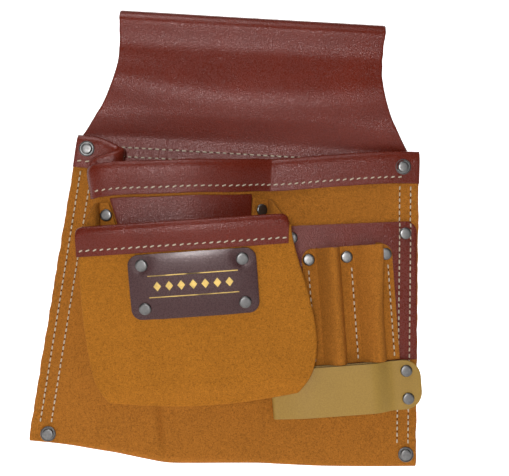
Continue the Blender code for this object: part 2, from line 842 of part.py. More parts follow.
def pocket_normal(x, z):
    """Outward normal of the outer pocket's front."""
    here = place(x, pocket_middle(x, z), z)
    right = place(x + 1.0, pocket_middle(x + 1.0, z), z)
    below = place(x, pocket_middle(x, z - 1.0), z - 1.0)
    return (right - here).cross(here - below).normalized()


def corner_rivets():
    """Rivets with cup washers at the four corners of the body."""
    x, z = TOP_RIVET
    low_z = LOW_LEFT_RIVET[1]
    wrap = BINDING_GAP + TRIM_LEATHER
    places = [
        ("top_left", -x, z, seam_face(BODY_TOP) + wrap),
        ("top_right", x, z, front_face(x, z) + wrap),
        ("bottom_left", *LOW_LEFT_RIVET, seam_face(low_z)),
        ("bottom_right", *LOW_RIGHT_RIVET, front_face(*LOW_RIGHT_RIVET)),
    ]
    made = []
    for name, x, z, face in places:
        stack = face + rear_middle_y(z) + SUEDE / 2.0
        made.append(rivet("rivet_" + name, x, z, face, stack, washer=True))
    return made[:2], made[2:]


def pocket_rivets():
    """Rivets through the outer pocket's ears, square to the leather."""
    made = []
    for name, x, z in EAR_RIVETS:
        normal = front_normal(x, z)
        point = place(x, front_face(x, z), z) + normal * (2.0 * GAP + SUEDE) * MM
        face = -point.y / MM
        made.append(
            rivet("rivet_pocket_" + name, point.x / MM, point.z / MM, face,
                  2.0 * SUEDE + 2.0 * GAP, normal=normal))
    return made


def backing_rivets():
    """Rivets at the backing's upper corners; the right one goes through to the rear."""
    step = GAP + BACKING_LEATHER
    left_face = front_face(*BACKING_LEFT_RIVET) + step
    left = rivet("rivet_backing_left", *BACKING_LEFT_RIVET, left_face, step + SUEDE)
    z = BACKING_RIGHT_RIVET_Z
    between_rows = (SIDE_ROWS[0][1] + SIDE_ROWS[1][1]) / 2.0
    x = half_width(z) - between_rows
    right_face = front_face(x, z) + step
    stack = right_face + rear_middle_y(z) + SUEDE / 2.0
    right = rivet("rivet_backing_right", x, z, right_face, stack, lift=2.0 * THREAD_RADIUS + GAP)
    return left, right


def loop_rivets():
    """One rivet above each stitched line of the tool loops."""
    made = []
    for number, along in enumerate(LOOP_RIVETS, start=1):
        x, z = loop_point(along, 0.0)
        face = front_face(x, z) + loop_stand() + SUEDE / 2.0
        stack = loop_stand() + SUEDE / 2.0 + SUEDE
        made.append(rivet("rivet_loop_%d" % number, x, z, face, stack))
    return made


def badge_rivets():
    """Rivets at the badge's corners, square to the crowned pocket."""
    made = []
    for name, side, level in (("tl", -1, 1), ("tr", 1, 1), ("bl", -1, -1), ("br", 1, -1)):
        x, z = slanted(BADGE_CENTRE, POCKET_SLANT, side * BADGE_RIVET_X, level * BADGE_RIVET_Z)
        normal = pocket_normal(x, z)
        stand = SUEDE / 2.0 + GAP + BADGE_LEATHER
        point = place(x, pocket_middle(x, z), z) + normal * stand * MM
        made.append(
            rivet("rivet_badge_" + name, point.x / MM, point.z / MM, -point.y / MM,
                  stand + SUEDE / 2.0, normal=normal))
    return made


def strap_rivets():
    """The two rivets that hold the hammer loop to the right-hand edge."""
    made = []
    front = STRAP_REAR_DEPTH + STRAP_LEATHER + GAP + STRAP_LEATHER / 2.0
    for name, side in (("upper", 1.0), ("lower", -1.0)):
        x, z = slanted(STRAP_CENTRE, STRAP_SLANT, STRAP_RIVET, side * STRAP_RIVET_SPREAD)
        stack = front + rear_middle_y(z) + SUEDE / 2.0
        made.append(rivet("rivet_strap_" + name, x, z, front, stack))
    return made


# ---------------------------------------------------------------- stitching

def over(depth):
    """Depth of a thread's middle laid on a face."""
    return depth + GAP + THREAD_RADIUS


def make_side_rows():
    """Two rows of stitching down each side seam."""
    backing = GAP + BACKING_LEATHER
    runs = [(RIGHT_ROW_ABOVE_BACKING, 0.0), (RIGHT_ROW_ON_BACKING, backing), (RIGHT_ROW_BELOW_BACKING, 0.0)]
    for name, inset in SIDE_ROWS:
        left = []
        for step in range(7):
            z = mix(LEFT_ROW_TOP, LEFT_ROW_BOTTOM, step / 6.0)
            left.append(place(inset - half_width(z), over(seam_face(z)) + THREAD_RADIUS, z))
        thread("thread_side_left_" + name, left)
        right = []
        for heights, step_up in runs:
            for z in heights:
                x = half_width(z) - inset
                right.append(place(x, over(front_face(x, z) + step_up), z))
        thread("thread_side_right_" + name, right)


def make_other_rows():
    """Stitching of the belt loop, the bindings and the tool loops."""
    half = FLAP_HALF_BOTTOM - 4.0
    for name, z in BELT_ROWS:
        points = [place(-half, over(yoke_face()), z), place(half, over(yoke_face()), z)]
        thread("thread_belt_loop_" + name, points)
    main_stops = [stop for stop in plan_stops() if FRONT_FOLD < stop < 16.5]
    thread("thread_main_trim", binding_row(main_edge, main_stops, TRIM_FACE - MAIN_ROW_RISE))
    pocket_row = binding_row(pocket_edge, pocket_stops()[1:-1], POCKET_TRIM_FACE - POCKET_ROW_RISE)
    thread("thread_pocket_trim", pocket_row)
    for number, along in enumerate(LOOP_SEAMS, start=1):
        points = []
        for step in range(6):
            down = mix(7.0, LOOP_BOTTOM - 2.0, step / 5.0)
            x, z = loop_point(along, down)
            points.append(place(x, over(front_face(x, z) + loop_stand() + SUEDE / 2.0), z))
        thread("thread_loop_%d" % number, points)


def yoke_face():
    """Depth of the yoke's front face at its seam."""
    return YOKE_LEATHER / 2.0 - YOKE_MIDDLE_Y


def binding_row(edge, stops, drop):
    """A row of stitching near a binding's lower edge."""
    stand = SUEDE / 2.0 + BINDING_GAP + TRIM_LEATHER + GAP + THREAD_RADIUS
    points = []
    for stop in stops:
        point, normal = edge(stop, drop)
        points.append(point + normal * stand * MM)
    return points


# ---------------------------------------------------------------- assembly

def clear_scene():
    """Remove everything the new file starts with."""
    for thing in list(bpy.data.objects):
        bpy.data.objects.remove(thing, do_unlink=True)


def make_joint_empty(name, location):
    """An empty on a joint's axis, which the moving pieces hang from."""
    empty = bpy.data.objects.new(name, None)
    empty.location = location
    empty.empty_display_size = 0.02
    PARTS.objects.link(empty)
    return empty


def hang(pieces, empty):
    """Parent pieces to an empty without moving them."""
    offset = Matrix.Translation(empty.location).inverted()
    for piece in pieces:
        piece.parent = empty
        piece.matrix_parent_inverse = offset


clear_scene()
PARTS = new_collection("tool_pouch")
CUTTERS = new_collection("cutters")
MATERIALS = {
    "oxblood": make_material("oxblood leather", (0.12, 0.02, 0.013), 0.42),
    "suede": make_material("gold suede", (0.37, 0.135, 0.018), 0.95),
    "buff": make_material("buff leather", (0.38, 0.23, 0.06), 0.5),
    "badge_leather": make_material("badge leather", (0.055, 0.02, 0.02), 0.35),
    "nickel": make_material("nickel", (0.42, 0.41, 0.42), 0.3, 1.0),
    "thread": make_material("thread", (0.62, 0.55, 0.45), 0.8),
}

body = make_body()
yoke = make_yoke()
trim = binding("main_pocket_trim", main_edge, plan_stops(), TRIM_FACE, TRIM_INSIDE)
patch = make_patch()
pocket = make_outer_pocket()
pocket_trim = binding("outer_pocket_trim", pocket_edge, pocket_stops(), POCKET_TRIM_FACE, POCKET_TRIM_INSIDE)
badge = make_badge()
backing = make_backing()
tool_loops = make_tool_loops()
strap = make_strap()

top_corners, low_corners = corner_rivets()
ears = pocket_rivets()
backing_left, backing_right = backing_rivets()
loop_posts = loop_rivets()
badge_posts = badge_rivets()
strap_posts = strap_rivets()

cut_holes(body, top_corners + low_corners + ears + [backing_left, backing_right] + loop_posts + strap_posts)
cut_holes(yoke, top_corners)
cut_holes(trim, top_corners)
cut_holes(pocket, ears + badge_posts)
cut_holes(badge, badge_posts)
cut_holes(backing, [backing_left, backing_right] + loop_posts)
cut_holes(tool_loops, loop_posts)
cut_holes(strap, strap_posts)

make_side_rows()
make_other_rows()

bpy.context.view_layer.update()
pocket_hinge = make_joint_empty("outer_pocket_hinge", place(*POCKET_HINGE))
pocket_pieces = [pocket, pocket_trim, badge, bpy.data.objects["thread_pocket_trim"]]
pocket_pieces += [thing for thing in PARTS.objects if thing.name.startswith("rivet_badge_")]
hang(pocket_pieces, pocket_hinge)
strap_x, strap_z = slanted(STRAP_CENTRE, STRAP_SLANT, STRAP_HINGE, 0.0)
strap_hinge = make_joint_empty("hammer_loop_hinge", place(strap_x, STRAP_REAR_DEPTH, strap_z))
hang([strap], strap_hinge)
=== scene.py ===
"""Looks of the electrician's leather tool pouch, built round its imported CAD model.

Every leather piece is laid out again by the same rules as its CAD solid, much
finer, with the leather's swell and creases. Stitches are made one by one, and
the rivets are turned. Lengths are in millimetres until a mesh is made, "depth"
is the distance in front of the side seams' plane, as in the CAD source.
"""

import math
import random

import bmesh
import bpy
from mathutils import Matrix, Vector, noise


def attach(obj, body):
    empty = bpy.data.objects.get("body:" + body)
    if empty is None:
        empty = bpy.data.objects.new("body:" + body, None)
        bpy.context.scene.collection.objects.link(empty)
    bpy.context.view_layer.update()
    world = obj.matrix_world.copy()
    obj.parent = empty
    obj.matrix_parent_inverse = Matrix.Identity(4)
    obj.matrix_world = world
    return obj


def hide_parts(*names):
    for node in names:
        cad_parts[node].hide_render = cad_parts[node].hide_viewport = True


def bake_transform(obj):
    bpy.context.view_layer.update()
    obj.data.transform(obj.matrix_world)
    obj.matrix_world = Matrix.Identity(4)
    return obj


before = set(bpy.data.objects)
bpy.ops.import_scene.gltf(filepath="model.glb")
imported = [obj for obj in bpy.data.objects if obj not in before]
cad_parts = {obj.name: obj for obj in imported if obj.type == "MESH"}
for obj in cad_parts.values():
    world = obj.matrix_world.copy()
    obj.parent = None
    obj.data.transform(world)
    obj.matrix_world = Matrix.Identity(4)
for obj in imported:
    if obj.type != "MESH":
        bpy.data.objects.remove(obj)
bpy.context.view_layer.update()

MM = 0.001
FORWARD = Vector((0.0, -1.0, 0.0))

# Leather, as in the CAD
GAP = 0.3
SUEDE = 2.0
YOKE_LEATHER = 2.3
TRIM_LEATHER = 1.2
BACKING_LEATHER = 1.5
STRAP_LEATHER = 1.9
BADGE_LEATHER = 1.6

# Body
BODY_TOP = -42.0
BODY_FOOT = -261.0
LEFT_TOP = -118.3
LEFT_FOOT = -141.0
RIGHT_TOP = 122.4
RIGHT_FOOT = 133.0
FOOT_PLAN_Z = -255.0
REAR_TOP = -44.0
REAR_MIDDLE_Y = 1.15
REAR_STEP_Y = 3.75
REAR_STEP_Z = -76.0
REAR_STEP_RISE = 12.0
MOUTH_PLAN = [
    (LEFT_TOP, 2.8), (-103.0, 3.0), (-89.8, 4.6), (-86.0, 9.6), (-89.8, 14.6), (-103.8, 16.0),
    (-107.5, 20.8), (-103.8, 25.4), (-88.0, 26.8), (-62.0, 27.0), (-34.0, 25.0), (-8.0, 18.0),
    (10.0, 9.5), (20.0, 6.0), (32.0, 6.0), (64.0, 5.6), (98.0, 4.4), (RIGHT_TOP, 2.8),
]
FOOT_PLAN = [
    (LEFT_FOOT, 1.15), (-123.0, 1.3), (-112.0, 3.0), (-104.0, 5.0), (-96.0, 6.5), (-88.0, 7.5),
    (-79.0, 8.3), (-70.0, 9.0), (-58.0, 9.5), (-42.0, 10.0), (-24.0, 9.5), (-4.0, 8.0),
    (12.0, 5.5), (24.0, 3.6), (38.0, 3.0), (68.0, 2.8), (106.0, 1.9), (RIGHT_FOOT, 1.15),
]
MOUTH_HEIGHT = [
    -44.0, -45.0, -50.0, -52.0, -55.0, -60.0, -66.0, -65.0, -62.5, -60.5, -57.8, -56.0,
    -54.0, -53.4, -52.0, -47.6, -43.4, -42.0,
]
FOOT_HEIGHT = [
    -258.6, -259.3, -259.8, -260.3, -261.0, -261.7, -262.5, -263.7, -265.4, -267.2, -266.6, -265.6,
    -265.0, -264.7, -264.7, -264.3, -262.6, -260.9,
]
PLAN_STEPS = [4, 4, 8, 8, 8, 8, 8, 6, 8, 8, 8, 8, 6, 6, 8, 8, 6]
PLAN_HALVINGS = 22
FRONT_FOLD = 6.6
CREASE_X = 18.8
CREASE_RUN = 12.0
CREASE_RISE = 4.5
CREASE_DEPTH = 1.2
CREASE_FOOT = -125.0
CREASE_FADE = 35.0
FOOT_CREASE_X = -49.0
FOOT_CREASE_TOP = -206.0
FOOT_CREASE_WIDTH = 2.6
FOOT_CREASE_DEPTH = 3.0
FOOT_CREASE_SLANT = 0.12
HIDE_SWELL = 0.35
FRONT_WAVE = 38.0

# Yoke and belt loop
TUNNEL_TOP = 48.5
NECK_HALF = 92.5
NECK_WAIST = 15.0
NECK_FLARE = 24.5
FLARE_POWER = 1.75
YOKE_FRONT_BOTTOM = -62.0
FLAP_BOTTOM = -60.0
FLAP_TOP = 38.0
FLAP_MIDDLE_Y = 6.2
YOKE_MIDDLE_Y = 1.3
YOKE_SWELL = 7.4
YOKE_WAVE = 2.2
YOKE_WAVE_Z = 1.0
YOKE_WAVE_PITCH = 47.0
YOKE_SAG = 9.0
YOKE_SAG_SPAN = 98.0
YOKE_FOLD_Z = 40.0
FLAP_HALF_BOTTOM = 98.0
FLAP_HALF_TOP = 93.5
BELT_ROWS = [("upper", -48.0), ("lower", -54.5)]

# Bindings
BINDING_GAP = 0.55
BINDING_PLUMP = 1.0
TRIM_FACE = 20.0
TRIM_INSIDE = 14.0
POCKET_TRIM_FACE = 17.0
POCKET_TRIM_INSIDE = 10.0
POCKET_TRIM_START = -0.012
POCKET_TRIM_END = 0.988
POCKET_TRIM_TAPER = 0.05
MAIN_ROW_RISE = 4.5
MAIN_ROW = (6.7, 16.45)
END_ROW = (0.12, 1.55)
POCKET_ROW_RISE = 4.0

# Outer pocket
POCKET_SLANT = math.radians(7.3)
POCKET_CENTRE = (-27.0, -160.0)
POCKET_DEPTH = 28.5
POCKET_LEAN = 0.15
POCKET_CROWN = 6.0
POCKET_SPREAD = 72.0
POCKET_CURL = 3.5
POCKET_CURL_START = 48.0
POCKET_CURL_RUN = 16.0
POCKET_LEFT = [
    (-107.0, -109.0), (-106.0, -127.0), (-104.0, -155.0),
    (-99.5, -185.0), (-93.0, -211.0), (-83.0, -225.5),
]
POCKET_RIGHT = [
    (33.0, -91.5), (35.5, -108.0), (49.5, -147.0), (56.0, -174.0), (54.5, -196.0), (46.0, -211.0),
]
SEAM_LEFT = [
    (-98.0, -89.0), (-95.0, -120.0), (-92.0, -155.0), (-87.0, -185.0), (-82.0, -205.0), (-74.0, -215.0),
]
SEAM_RIGHT = [
    (19.0, -79.0), (19.0, -108.0), (20.0, -147.0), (22.0, -170.0), (22.0, -188.0), (16.0, -201.0),
]
POCKET_SAG = 5.0
SKIRT = [(0.0, 0.0), (0.03, 0.10), (0.35, 0.22), (0.80, 0.34), (0.97, 0.62), (1.0, 1.0)]
FLANGE = 12.0
EAR_TOP = 7.5
EAR_SHARE = 0.12
POCKET_SIDE_STEPS = [0.0, 0.005, 0.011, 0.018, 0.026, 0.036]
POCKET_COLUMNS = 60
CORNER_DROP = 4.2
CORNER_RUN = 0.036
POCKET_ROWS = 50
SKIRT_RINGS = 18
FLANGE_RINGS = 5

# Wear patch
PATCH_LEFT = -90.2
PATCH_RIGHT = 6.3
PATCH_BOTTOM = -126.0
PATCH_SLANT = 14.0
PATCH_FLARE = 1.6
PATCH_TOP_GAP = 2.0
PATCH_BAND_Z = -80.0

# Tool loops
LOOP_SLANT = math.radians(7.6)
LOOP_ORIGIN = (75.1, -116.4)
LOOP_RIVETS = [-26.6, 0.0, 27.5]
LOOP_SEAMS = [-27.2, 2.9, 28.5]
LOOP_TUBES = [(-20.8, -5.8), (5.8, 21.8)]
LOOP_LEFT = -31.5
LOOP_RIGHT = 32.0
LOOP_TOP = -7.5
LOOP_BOTTOM = 74.2
LOOP_BULGE_TOP = 12.5
LOOP_BULGE_BOTTOM = 9.0
LOOP_ROUNDNESS = 0.55
LOOP_LEAN = 2.1
LOOP_OVERHANG = 0.40
LOOP_CORNER = 8.0
BACKING_CORNERS = [(30.0, -97.5), (123.3, -88.3), (129.0, -185.6), (38.3, -196.0)]
BACKING_ROUND = 8.0
BACKING_CORNER_SHARE = 0.085

# Hammer loop
STRAP_SLANT = math.radians(7.5)
STRAP_CENTRE = (76.0, -209.3)
STRAP_WIDTH = 34.5
STRAP_LEFT = -48.0
STRAP_RIGHT = 57.0
STRAP_REAR_DEPTH = 5.95
STRAP_OPENING = 4.4
STRAP_FOLD_OPENING = 2.6
STRAP_SWELL = 3.0
STRAP_SWELL_RUN = 26.0
STRAP_PINCH = 38.0
STRAP_PINCH_RUN = 16.0
STRAP_ROUND = 12.0
STRAP_RIVET = 47.0
STRAP_RIVET_SPREAD = 9.7

# Badge
BADGE_CENTRE = (-28.7, -139.7)
BADGE_HALF_WIDTH = 42.7
BADGE_HALF_HEIGHT = 21.8
BADGE_ROUND = 7.0
BADGE_RIVET_X = 33.5
BADGE_RIVET_Z = 14.6
BADGE_PUFF = 1.4
BADGE_DIMPLE = 1.4
BADGE_DIMPLE_SIZE = 5.2
RULE_Z = 7.2
RULE_HALF = 0.3
RULE_REACH = 30.0
RULE_PIECE = 6.0
DIAMOND = (2.6, 3.2)
DIAMOND_REACH = 24.0
FOIL_PROUD = 0.08
FOIL_SUNK = 0.25

# Rivets
POST_RADIUS = 1.6
RIVET_SIDES = 40
WASHER_FLOOR = 0.7
TOP_RIVET = (111.3, -51.0)
LOW_LEFT_RIVET = (-127.6, -253.4)
LOW_RIGHT_RIVET = (125.5, -253.4)
EAR_RIVETS = [("left", -91.5, -97.0), ("right", 12.6, -87.0)]
BACKING_LEFT_RIVET = (36.0, -105.4)
BACKING_RIGHT_RIVET_Z = -97.6

# Thread
THREAD_RADIUS = 0.5
STITCH_PITCH = 4.8
STITCH_LENGTH = 3.2
HOLE_LENGTH = 0.85
HOLE_WIDTH = 0.42
HOLE_PROUD = 0.14
HOLE_DEPTH = 0.4
STITCH_SIDES = 7
STITCH_RINGS = 7
BINDING_SLANT = math.radians(16.0)
SIDE_PITCH = 4.3
LOOP_PITCH = 4.6
LEFT_ROW = (-66.0, -246.0)
RIGHT_ROW = (-63.5, -246.5)
BACKING_SPAN = (-187.0, -89.0)
SIDE_ROWS = [("outer", 5.6), ("inner", 13.4)]

# Camera, at the reference view, in metres
CAMERA_DISTANCE = 0.620
CAMERA_X = 0.0100
CAMERA_Z = -0.1069
CAMERA_ROLL = math.radians(3.3)
CAMERA_LENS = 61.76

# Stage, in metres
FLOOR_Z = -0.300
FLOOR_SWEEP = 0.7
WALL_Y = 2.6
WORLD_LIGHT = 0.07
LIGHT_TARGET = (0.0, 0.0, -0.11)


# ---------------------------------------------------------------- numbers

def clamp(value):
    """Limit a value to the range 0 to 1."""
    return max(0.0, min(1.0, value))


def mix(a, b, share):
    """Blend two numbers."""
    return a + (b - a) * share


def ease(value):
    """Smooth step between 0 and 1."""
    share = clamp(value)
    return share * share * (3.0 - 2.0 * share)


def mix_points(a, b, share):
    """Blend two tuples of numbers."""
    return tuple(mix(p, q, share) for p, q in zip(a, b))


def spline(points, position):
    """Point on a smooth curve through a list of tuples, at a fractional index."""
    last = len(points) - 1
    index = min(int(max(position, 0.0)), last - 1)
    t = clamp(position - index)
    nearby = [points[min(max(index + step, 0), last)] for step in (-1, 0, 1, 2)]
    result = []
    for p0, p1, p2, p3 in zip(*nearby):
        slope_in = (p2 - p0) / 2.0
        slope_out = (p3 - p1) / 2.0
        value = p1 * (2 * t ** 3 - 3 * t ** 2 + 1) + slope_in * (t ** 3 - 2 * t ** 2 + t)
        value += p2 * (3 * t ** 2 - 2 * t ** 3) + slope_out * (t ** 3 - t ** 2)
        result.append(value)
    return tuple(result)


def steps(first, last, count):
    """Evenly spaced numbers, both ends included."""
    return [mix(first, last, i / count) for i in range(count + 1)]


def bell(distance, size):
    """A smooth bump, 1 at no distance."""
    return math.exp(-(distance / size) ** 2)


def hide_wave(x, z, size, seed):
    """Slow, irregular swell of a hide, from -1 to 1."""
    return noise.noise(Vector((x / size, z / size, seed)))


def place(x, depth, z):
    """A point in metres, from x, depth in front of the seam plane and height."""
    return Vector((x * MM, -depth * MM, z * MM))


def slanted(centre, slant, along, across):
    """x and z of a point given on axes turned anticlockwise by slant."""
    x = centre[0] + along * math.cos(slant) - across * math.sin(slant)
    z = centre[1] + along * math.sin(slant) + across * math.cos(slant)
    return x, z


def rounded_half(across, half_height, radius):
    """How much a rounded rectangle's row shortens at a height from its middle."""
    beyond = abs(across) - (half_height - radius)
    if beyond <= 0.0:
        return 0.0
    return radius - math.sqrt(max(radius * radius - beyond * beyond, 0.0))


def rounded_shares(inner, count):
    """Heights of rows from -1 to 1, closer together beyond inner, where corners are round."""
    upper = [mix(inner, 1.0, math.sin(math.pi / 2.0 * share)) for share in steps(0.0, 1.0, 8)]
    return [-share for share in reversed(upper)] + steps(-inner, inner, count)[1:-1] + upper


def corner_shares(corner, count):
    """Shares down a piece from 0 to 1, closer together in its rounded top corners."""
    upper = [corner * (1.0 - math.cos(math.pi / 2.0 * turn)) for turn in steps(0.0, 1.0, 10)]
    return upper + steps(corner, 1.0, count)[1:]


# ---------------------------------------------------------------- surfaces

def edge_x(side, z):
    """Where the body's left (-1) or right (1) edge lies at a height."""
    share = (BODY_TOP - z) / (BODY_TOP - BODY_FOOT)
    if side < 0:
        return mix(LEFT_TOP, LEFT_FOOT, share)
    return mix(RIGHT_TOP, RIGHT_FOOT, share)


def plan_share(z):
    """0 at the mouth's plan curve, 1 at the foot's."""
    return clamp((BODY_TOP - z) / (BODY_TOP - FOOT_PLAN_Z))


def front_relief(x, z):
    """Swell and creases of the main front."""
    relief = HIDE_SWELL * hide_wave(x, z, FRONT_WAVE, 1.0)
    fade = ease((x + 118.0) / 16.0) * ease((118.0 - x) / 10.0) * ease((z + 262.0) / 12.0)
    foot_crease = bell(x - FOOT_CREASE_X + FOOT_CREASE_SLANT * (z + 230.0), FOOT_CREASE_WIDTH)
    foot_crease *= ease((FOOT_CREASE_TOP - z) / 12.0)
    before = ease((x - CREASE_X + CREASE_RUN) / CREASE_RUN)
    after = 1.0 - ease((x - CREASE_X) / CREASE_RISE)
    valley = CREASE_DEPTH * before * after * ease((z - CREASE_FOOT) / CREASE_FADE)
    return relief * fade - FOOT_CREASE_DEPTH * foot_crease * ease((z + 264.0) / 18.0) - valley


def front_sheet(position, z):
    """x and depth of the front sheet's middle, at a point along its plan curve."""
    top = spline(MOUTH_PLAN, position)
    foot = spline(FOOT_PLAN, position)
    x, depth = mix_points(top, foot, plan_share(z))
    if position > FRONT_FOLD:
        depth += front_relief(x, z) * ease((position - FRONT_FOLD) / 1.5)
    return x, depth


def plan_position(x, z, low, high):
    """Place along the plan curve, between two others, where the front sheet has this x."""
    share = plan_share(z)
    for _ in range(PLAN_HALVINGS):
        middle = (low + high) / 2.0
        if mix(spline(MOUTH_PLAN, middle)[0], spline(FOOT_PLAN, middle)[0], share) < x:
            low = middle
        else:
            high = middle
    return (low + high) / 2.0


def front_position(x, z):
    """Place along the plan curve where the visible part of the front has this x."""
    return plan_position(x, z, FRONT_FOLD, len(MOUTH_PLAN) - 1.0)


def front_face(x, z):
    """Depth of the front sheet's outer face."""
    return front_sheet(front_position(x, z), z)[1] + SUEDE / 2.0


def seam_face(z):
    """Depth of the front sheet's outer face in the flat of the left seam."""
    top = mix(MOUTH_PLAN[0][1], MOUTH_PLAN[1][1], 0.5)
    foot = mix(FOOT_PLAN[0][1], FOOT_PLAN[1][1], 0.5)
    return mix(top, foot, plan_share(z)) + SUEDE / 2.0


def mouth_height(position):
    """Height of the front sheet's top edge along its plan curve."""
    return spline([(z,) for z in MOUTH_HEIGHT], position)[0]


def rear_middle_y(z):
    """Rear sheet's middle: it steps back at the top to lie behind the yoke."""
    return mix(REAR_MIDDLE_Y, REAR_STEP_Y, ease((z - REAR_STEP_Z) / REAR_STEP_RISE))


def pocket_middle(x, z):
    """Depth of the outer pocket's front sheet, at its middle."""
    dx = x - POCKET_CENTRE[0]
    dz = z - POCKET_CENTRE[1]
    along = dx * math.cos(POCKET_SLANT) + dz * math.sin(POCKET_SLANT)
    up = -dx * math.sin(POCKET_SLANT) + dz * math.cos(POCKET_SLANT)
    crown = POCKET_CROWN * (1.0 - (along / POCKET_SPREAD) ** 2)
    curl = POCKET_CURL * ease((-POCKET_CURL_START - up) / POCKET_CURL_RUN)
    return POCKET_DEPTH + POCKET_LEAN * up + crown - curl + 0.5 * hide_wave(x, z, 34.0, 7.0)


def pocket_layout(column, row):
    """x and z on the outer pocket's front, column and row from 0 to 1."""
    last = len(POCKET_LEFT) - 1
    left = spline(POCKET_LEFT, row * last)
    right = spline(POCKET_RIGHT, row * last)
    x, z = mix_points(left, right, column)
    return x, z - POCKET_SAG * math.sin(math.pi * clamp(column)) * row ** 4


def corner_drop(column):
    """How far the outer pocket's mouth falls in its rounded corners."""
    right = clamp((column - POCKET_TRIM_END + CORNER_RUN) / CORNER_RUN)
    left = clamp((POCKET_TRIM_START + CORNER_RUN - column) / CORNER_RUN)
    fall = 1.0 - math.sqrt(1.0 - right * right)
    return CORNER_DROP * (fall + 0.5 * (1.0 - math.sqrt(1.0 - left * left)))


def pocket_columns():
    """Places across the outer pocket, closer together at its sides."""
    sides = POCKET_SIDE_STEPS
    inner = steps(sides[-1], 1.0 - sides[-1], POCKET_COLUMNS - 2 * (len(sides) - 1))
    return sides[:-1] + inner + [1.0 - side for side in reversed(sides[:-1])]


def loop_offset(along, down):
    """How far the tool-loop strip's middle stands off its flat parts."""
    height = mix(LOOP_BULGE_TOP, LOOP_BULGE_BOTTOM, clamp(down / LOOP_BOTTOM))
    for left, right in LOOP_TUBES:
        if left < along < right:
            share = ((along - left) / (right - left)) ** LOOP_LEAN
            return height * math.sin(math.pi * share) ** LOOP_ROUNDNESS
    return 0.0


def loop_stand():
    """Depth of the strip's middle over the main front, on its flat parts."""
    return GAP + BACKING_LEATHER + GAP + SUEDE / 2.0


def loop_point(along, down):
    """x and z on the tool loops' own axes, down measured from the rivets."""
    return slanted(LOOP_ORIGIN, LOOP_SLANT, along, -down)


def yoke_edge(side, z):
    """Where the yoke's left (-1) or right (1) edge lies at a height on its front."""
    if z >= NECK_WAIST:
        return side * (NECK_HALF + ((z - NECK_WAIST) / (TUNNEL_TOP - NECK_WAIST)) ** 1.5)
    if z > BODY_TOP + 0.5:
        share = (NECK_WAIST - z) / (NECK_WAIST - BODY_TOP)
        return side * (NECK_HALF + NECK_FLARE * share ** FLARE_POWER)
    return edge_x(side, z)


def yoke_front_depth(x, z):
    """The yoke's front swells twice between its seam and its fold."""
    rise = ease((z - BODY_TOP) / 20.0)
    sag = YOKE_SAG * (1.0 - (x / YOKE_SAG_SPAN) ** 2) * ease((24.0 - z) / 34.0)
    swell = YOKE_SWELL + YOKE_WAVE * math.cos((z + sag - YOKE_WAVE_Z) * 2.0 * math.pi / YOKE_WAVE_PITCH)
    return mix(-YOKE_MIDDLE_Y, swell + HIDE_SWELL * hide_wave(x, z, 45.0, 3.0), rise)


def badge_relief(along, across):
    """The badge's padding, drawn in at its rivets."""
    u = along / BADGE_HALF_WIDTH
    v = across / BADGE_HALF_HEIGHT
    puff = BADGE_PUFF * (1.0 - abs(u) ** 5) * (1.0 - abs(v) ** 4)
    for side in (-1, 1):
        for level in (-1, 1):
            distance = math.hypot(along - side * BADGE_RIVET_X, across - level * BADGE_RIVET_Z)
            puff -= BADGE_DIMPLE * bell(distance, BADGE_DIMPLE_SIZE) * clamp(puff + 0.3)
    return max(puff, 0.0)


# ---------------------------------------------------------------- materials

def fill(tree, node, sockets):
    """Set or link a node's sockets, by name or number."""
    for key, value in sockets.items():
        if isinstance(value, bpy.types.NodeSocket):
            tree.links.new(value, node.inputs[key])
        else:
            node.inputs[key].default_value = value


def add_node(tree, kind, sockets=None, **settings):
    """A shader node with its settings, and its sockets set or linked."""
    made = tree.nodes.new(kind)
    for name, value in settings.items():
        setattr(made, name, value)
    fill(tree, made, sockets or {})
    return made


def start_material(name):
    """A material's tree, its shader and its position in metres."""
    material = bpy.data.materials.new(name)
    material.use_nodes = True
    tree = material.node_tree
    shader = tree.nodes["Principled BSDF"]
    position = add_node(tree, "ShaderNodeTexCoord").outputs["Object"]
    return material, tree, shader, position


def noise_value(tree, position, scale, detail=2.0, roughness=0.5):
    """Grey noise at a scale in features a metre."""
    sockets = {"Vector": position, "Scale": scale, "Detail": detail, "Roughness": roughness}
    return add_node(tree, "ShaderNodeTexNoise", sockets).outputs["Fac"]


def remap(tree, value, low, high, to_low, to_high):
    """Stretch a value from one range to another."""
    sockets = {"Value": value, "From Min": low, "From Max": high, "To Min": to_low, "To Max": to_high}
    return add_node(tree, "ShaderNodeMapRange", sockets).outputs["Result"]


def math_node(tree, operation, a, b):
    """Two values combined."""
    return add_node(tree, "ShaderNodeMath", {0: a, 1: b}, operation=operation).outputs[0]


def mixed_colour(tree, share, a, b):
    """A colour between two others."""
    colours = [value if isinstance(value, bpy.types.NodeSocket) else (*value, 1.0) for value in (a, b)]
    sockets = {0: share, 6: colours[0], 7: colours[1]}
    return add_node(tree, "ShaderNodeMix", sockets, data_type="RGBA").outputs[2]


def scaled(colour, amount):
    """A colour made lighter or darker."""
    return tuple(channel * amount for channel in colour)


def bump(tree, height, strength, distance):
    """Surface relief from a height."""
    sockets = {"Height": height, "Strength": strength, "Distance": distance}
    return add_node(tree, "ShaderNodeBump", sockets).outputs["Normal"]


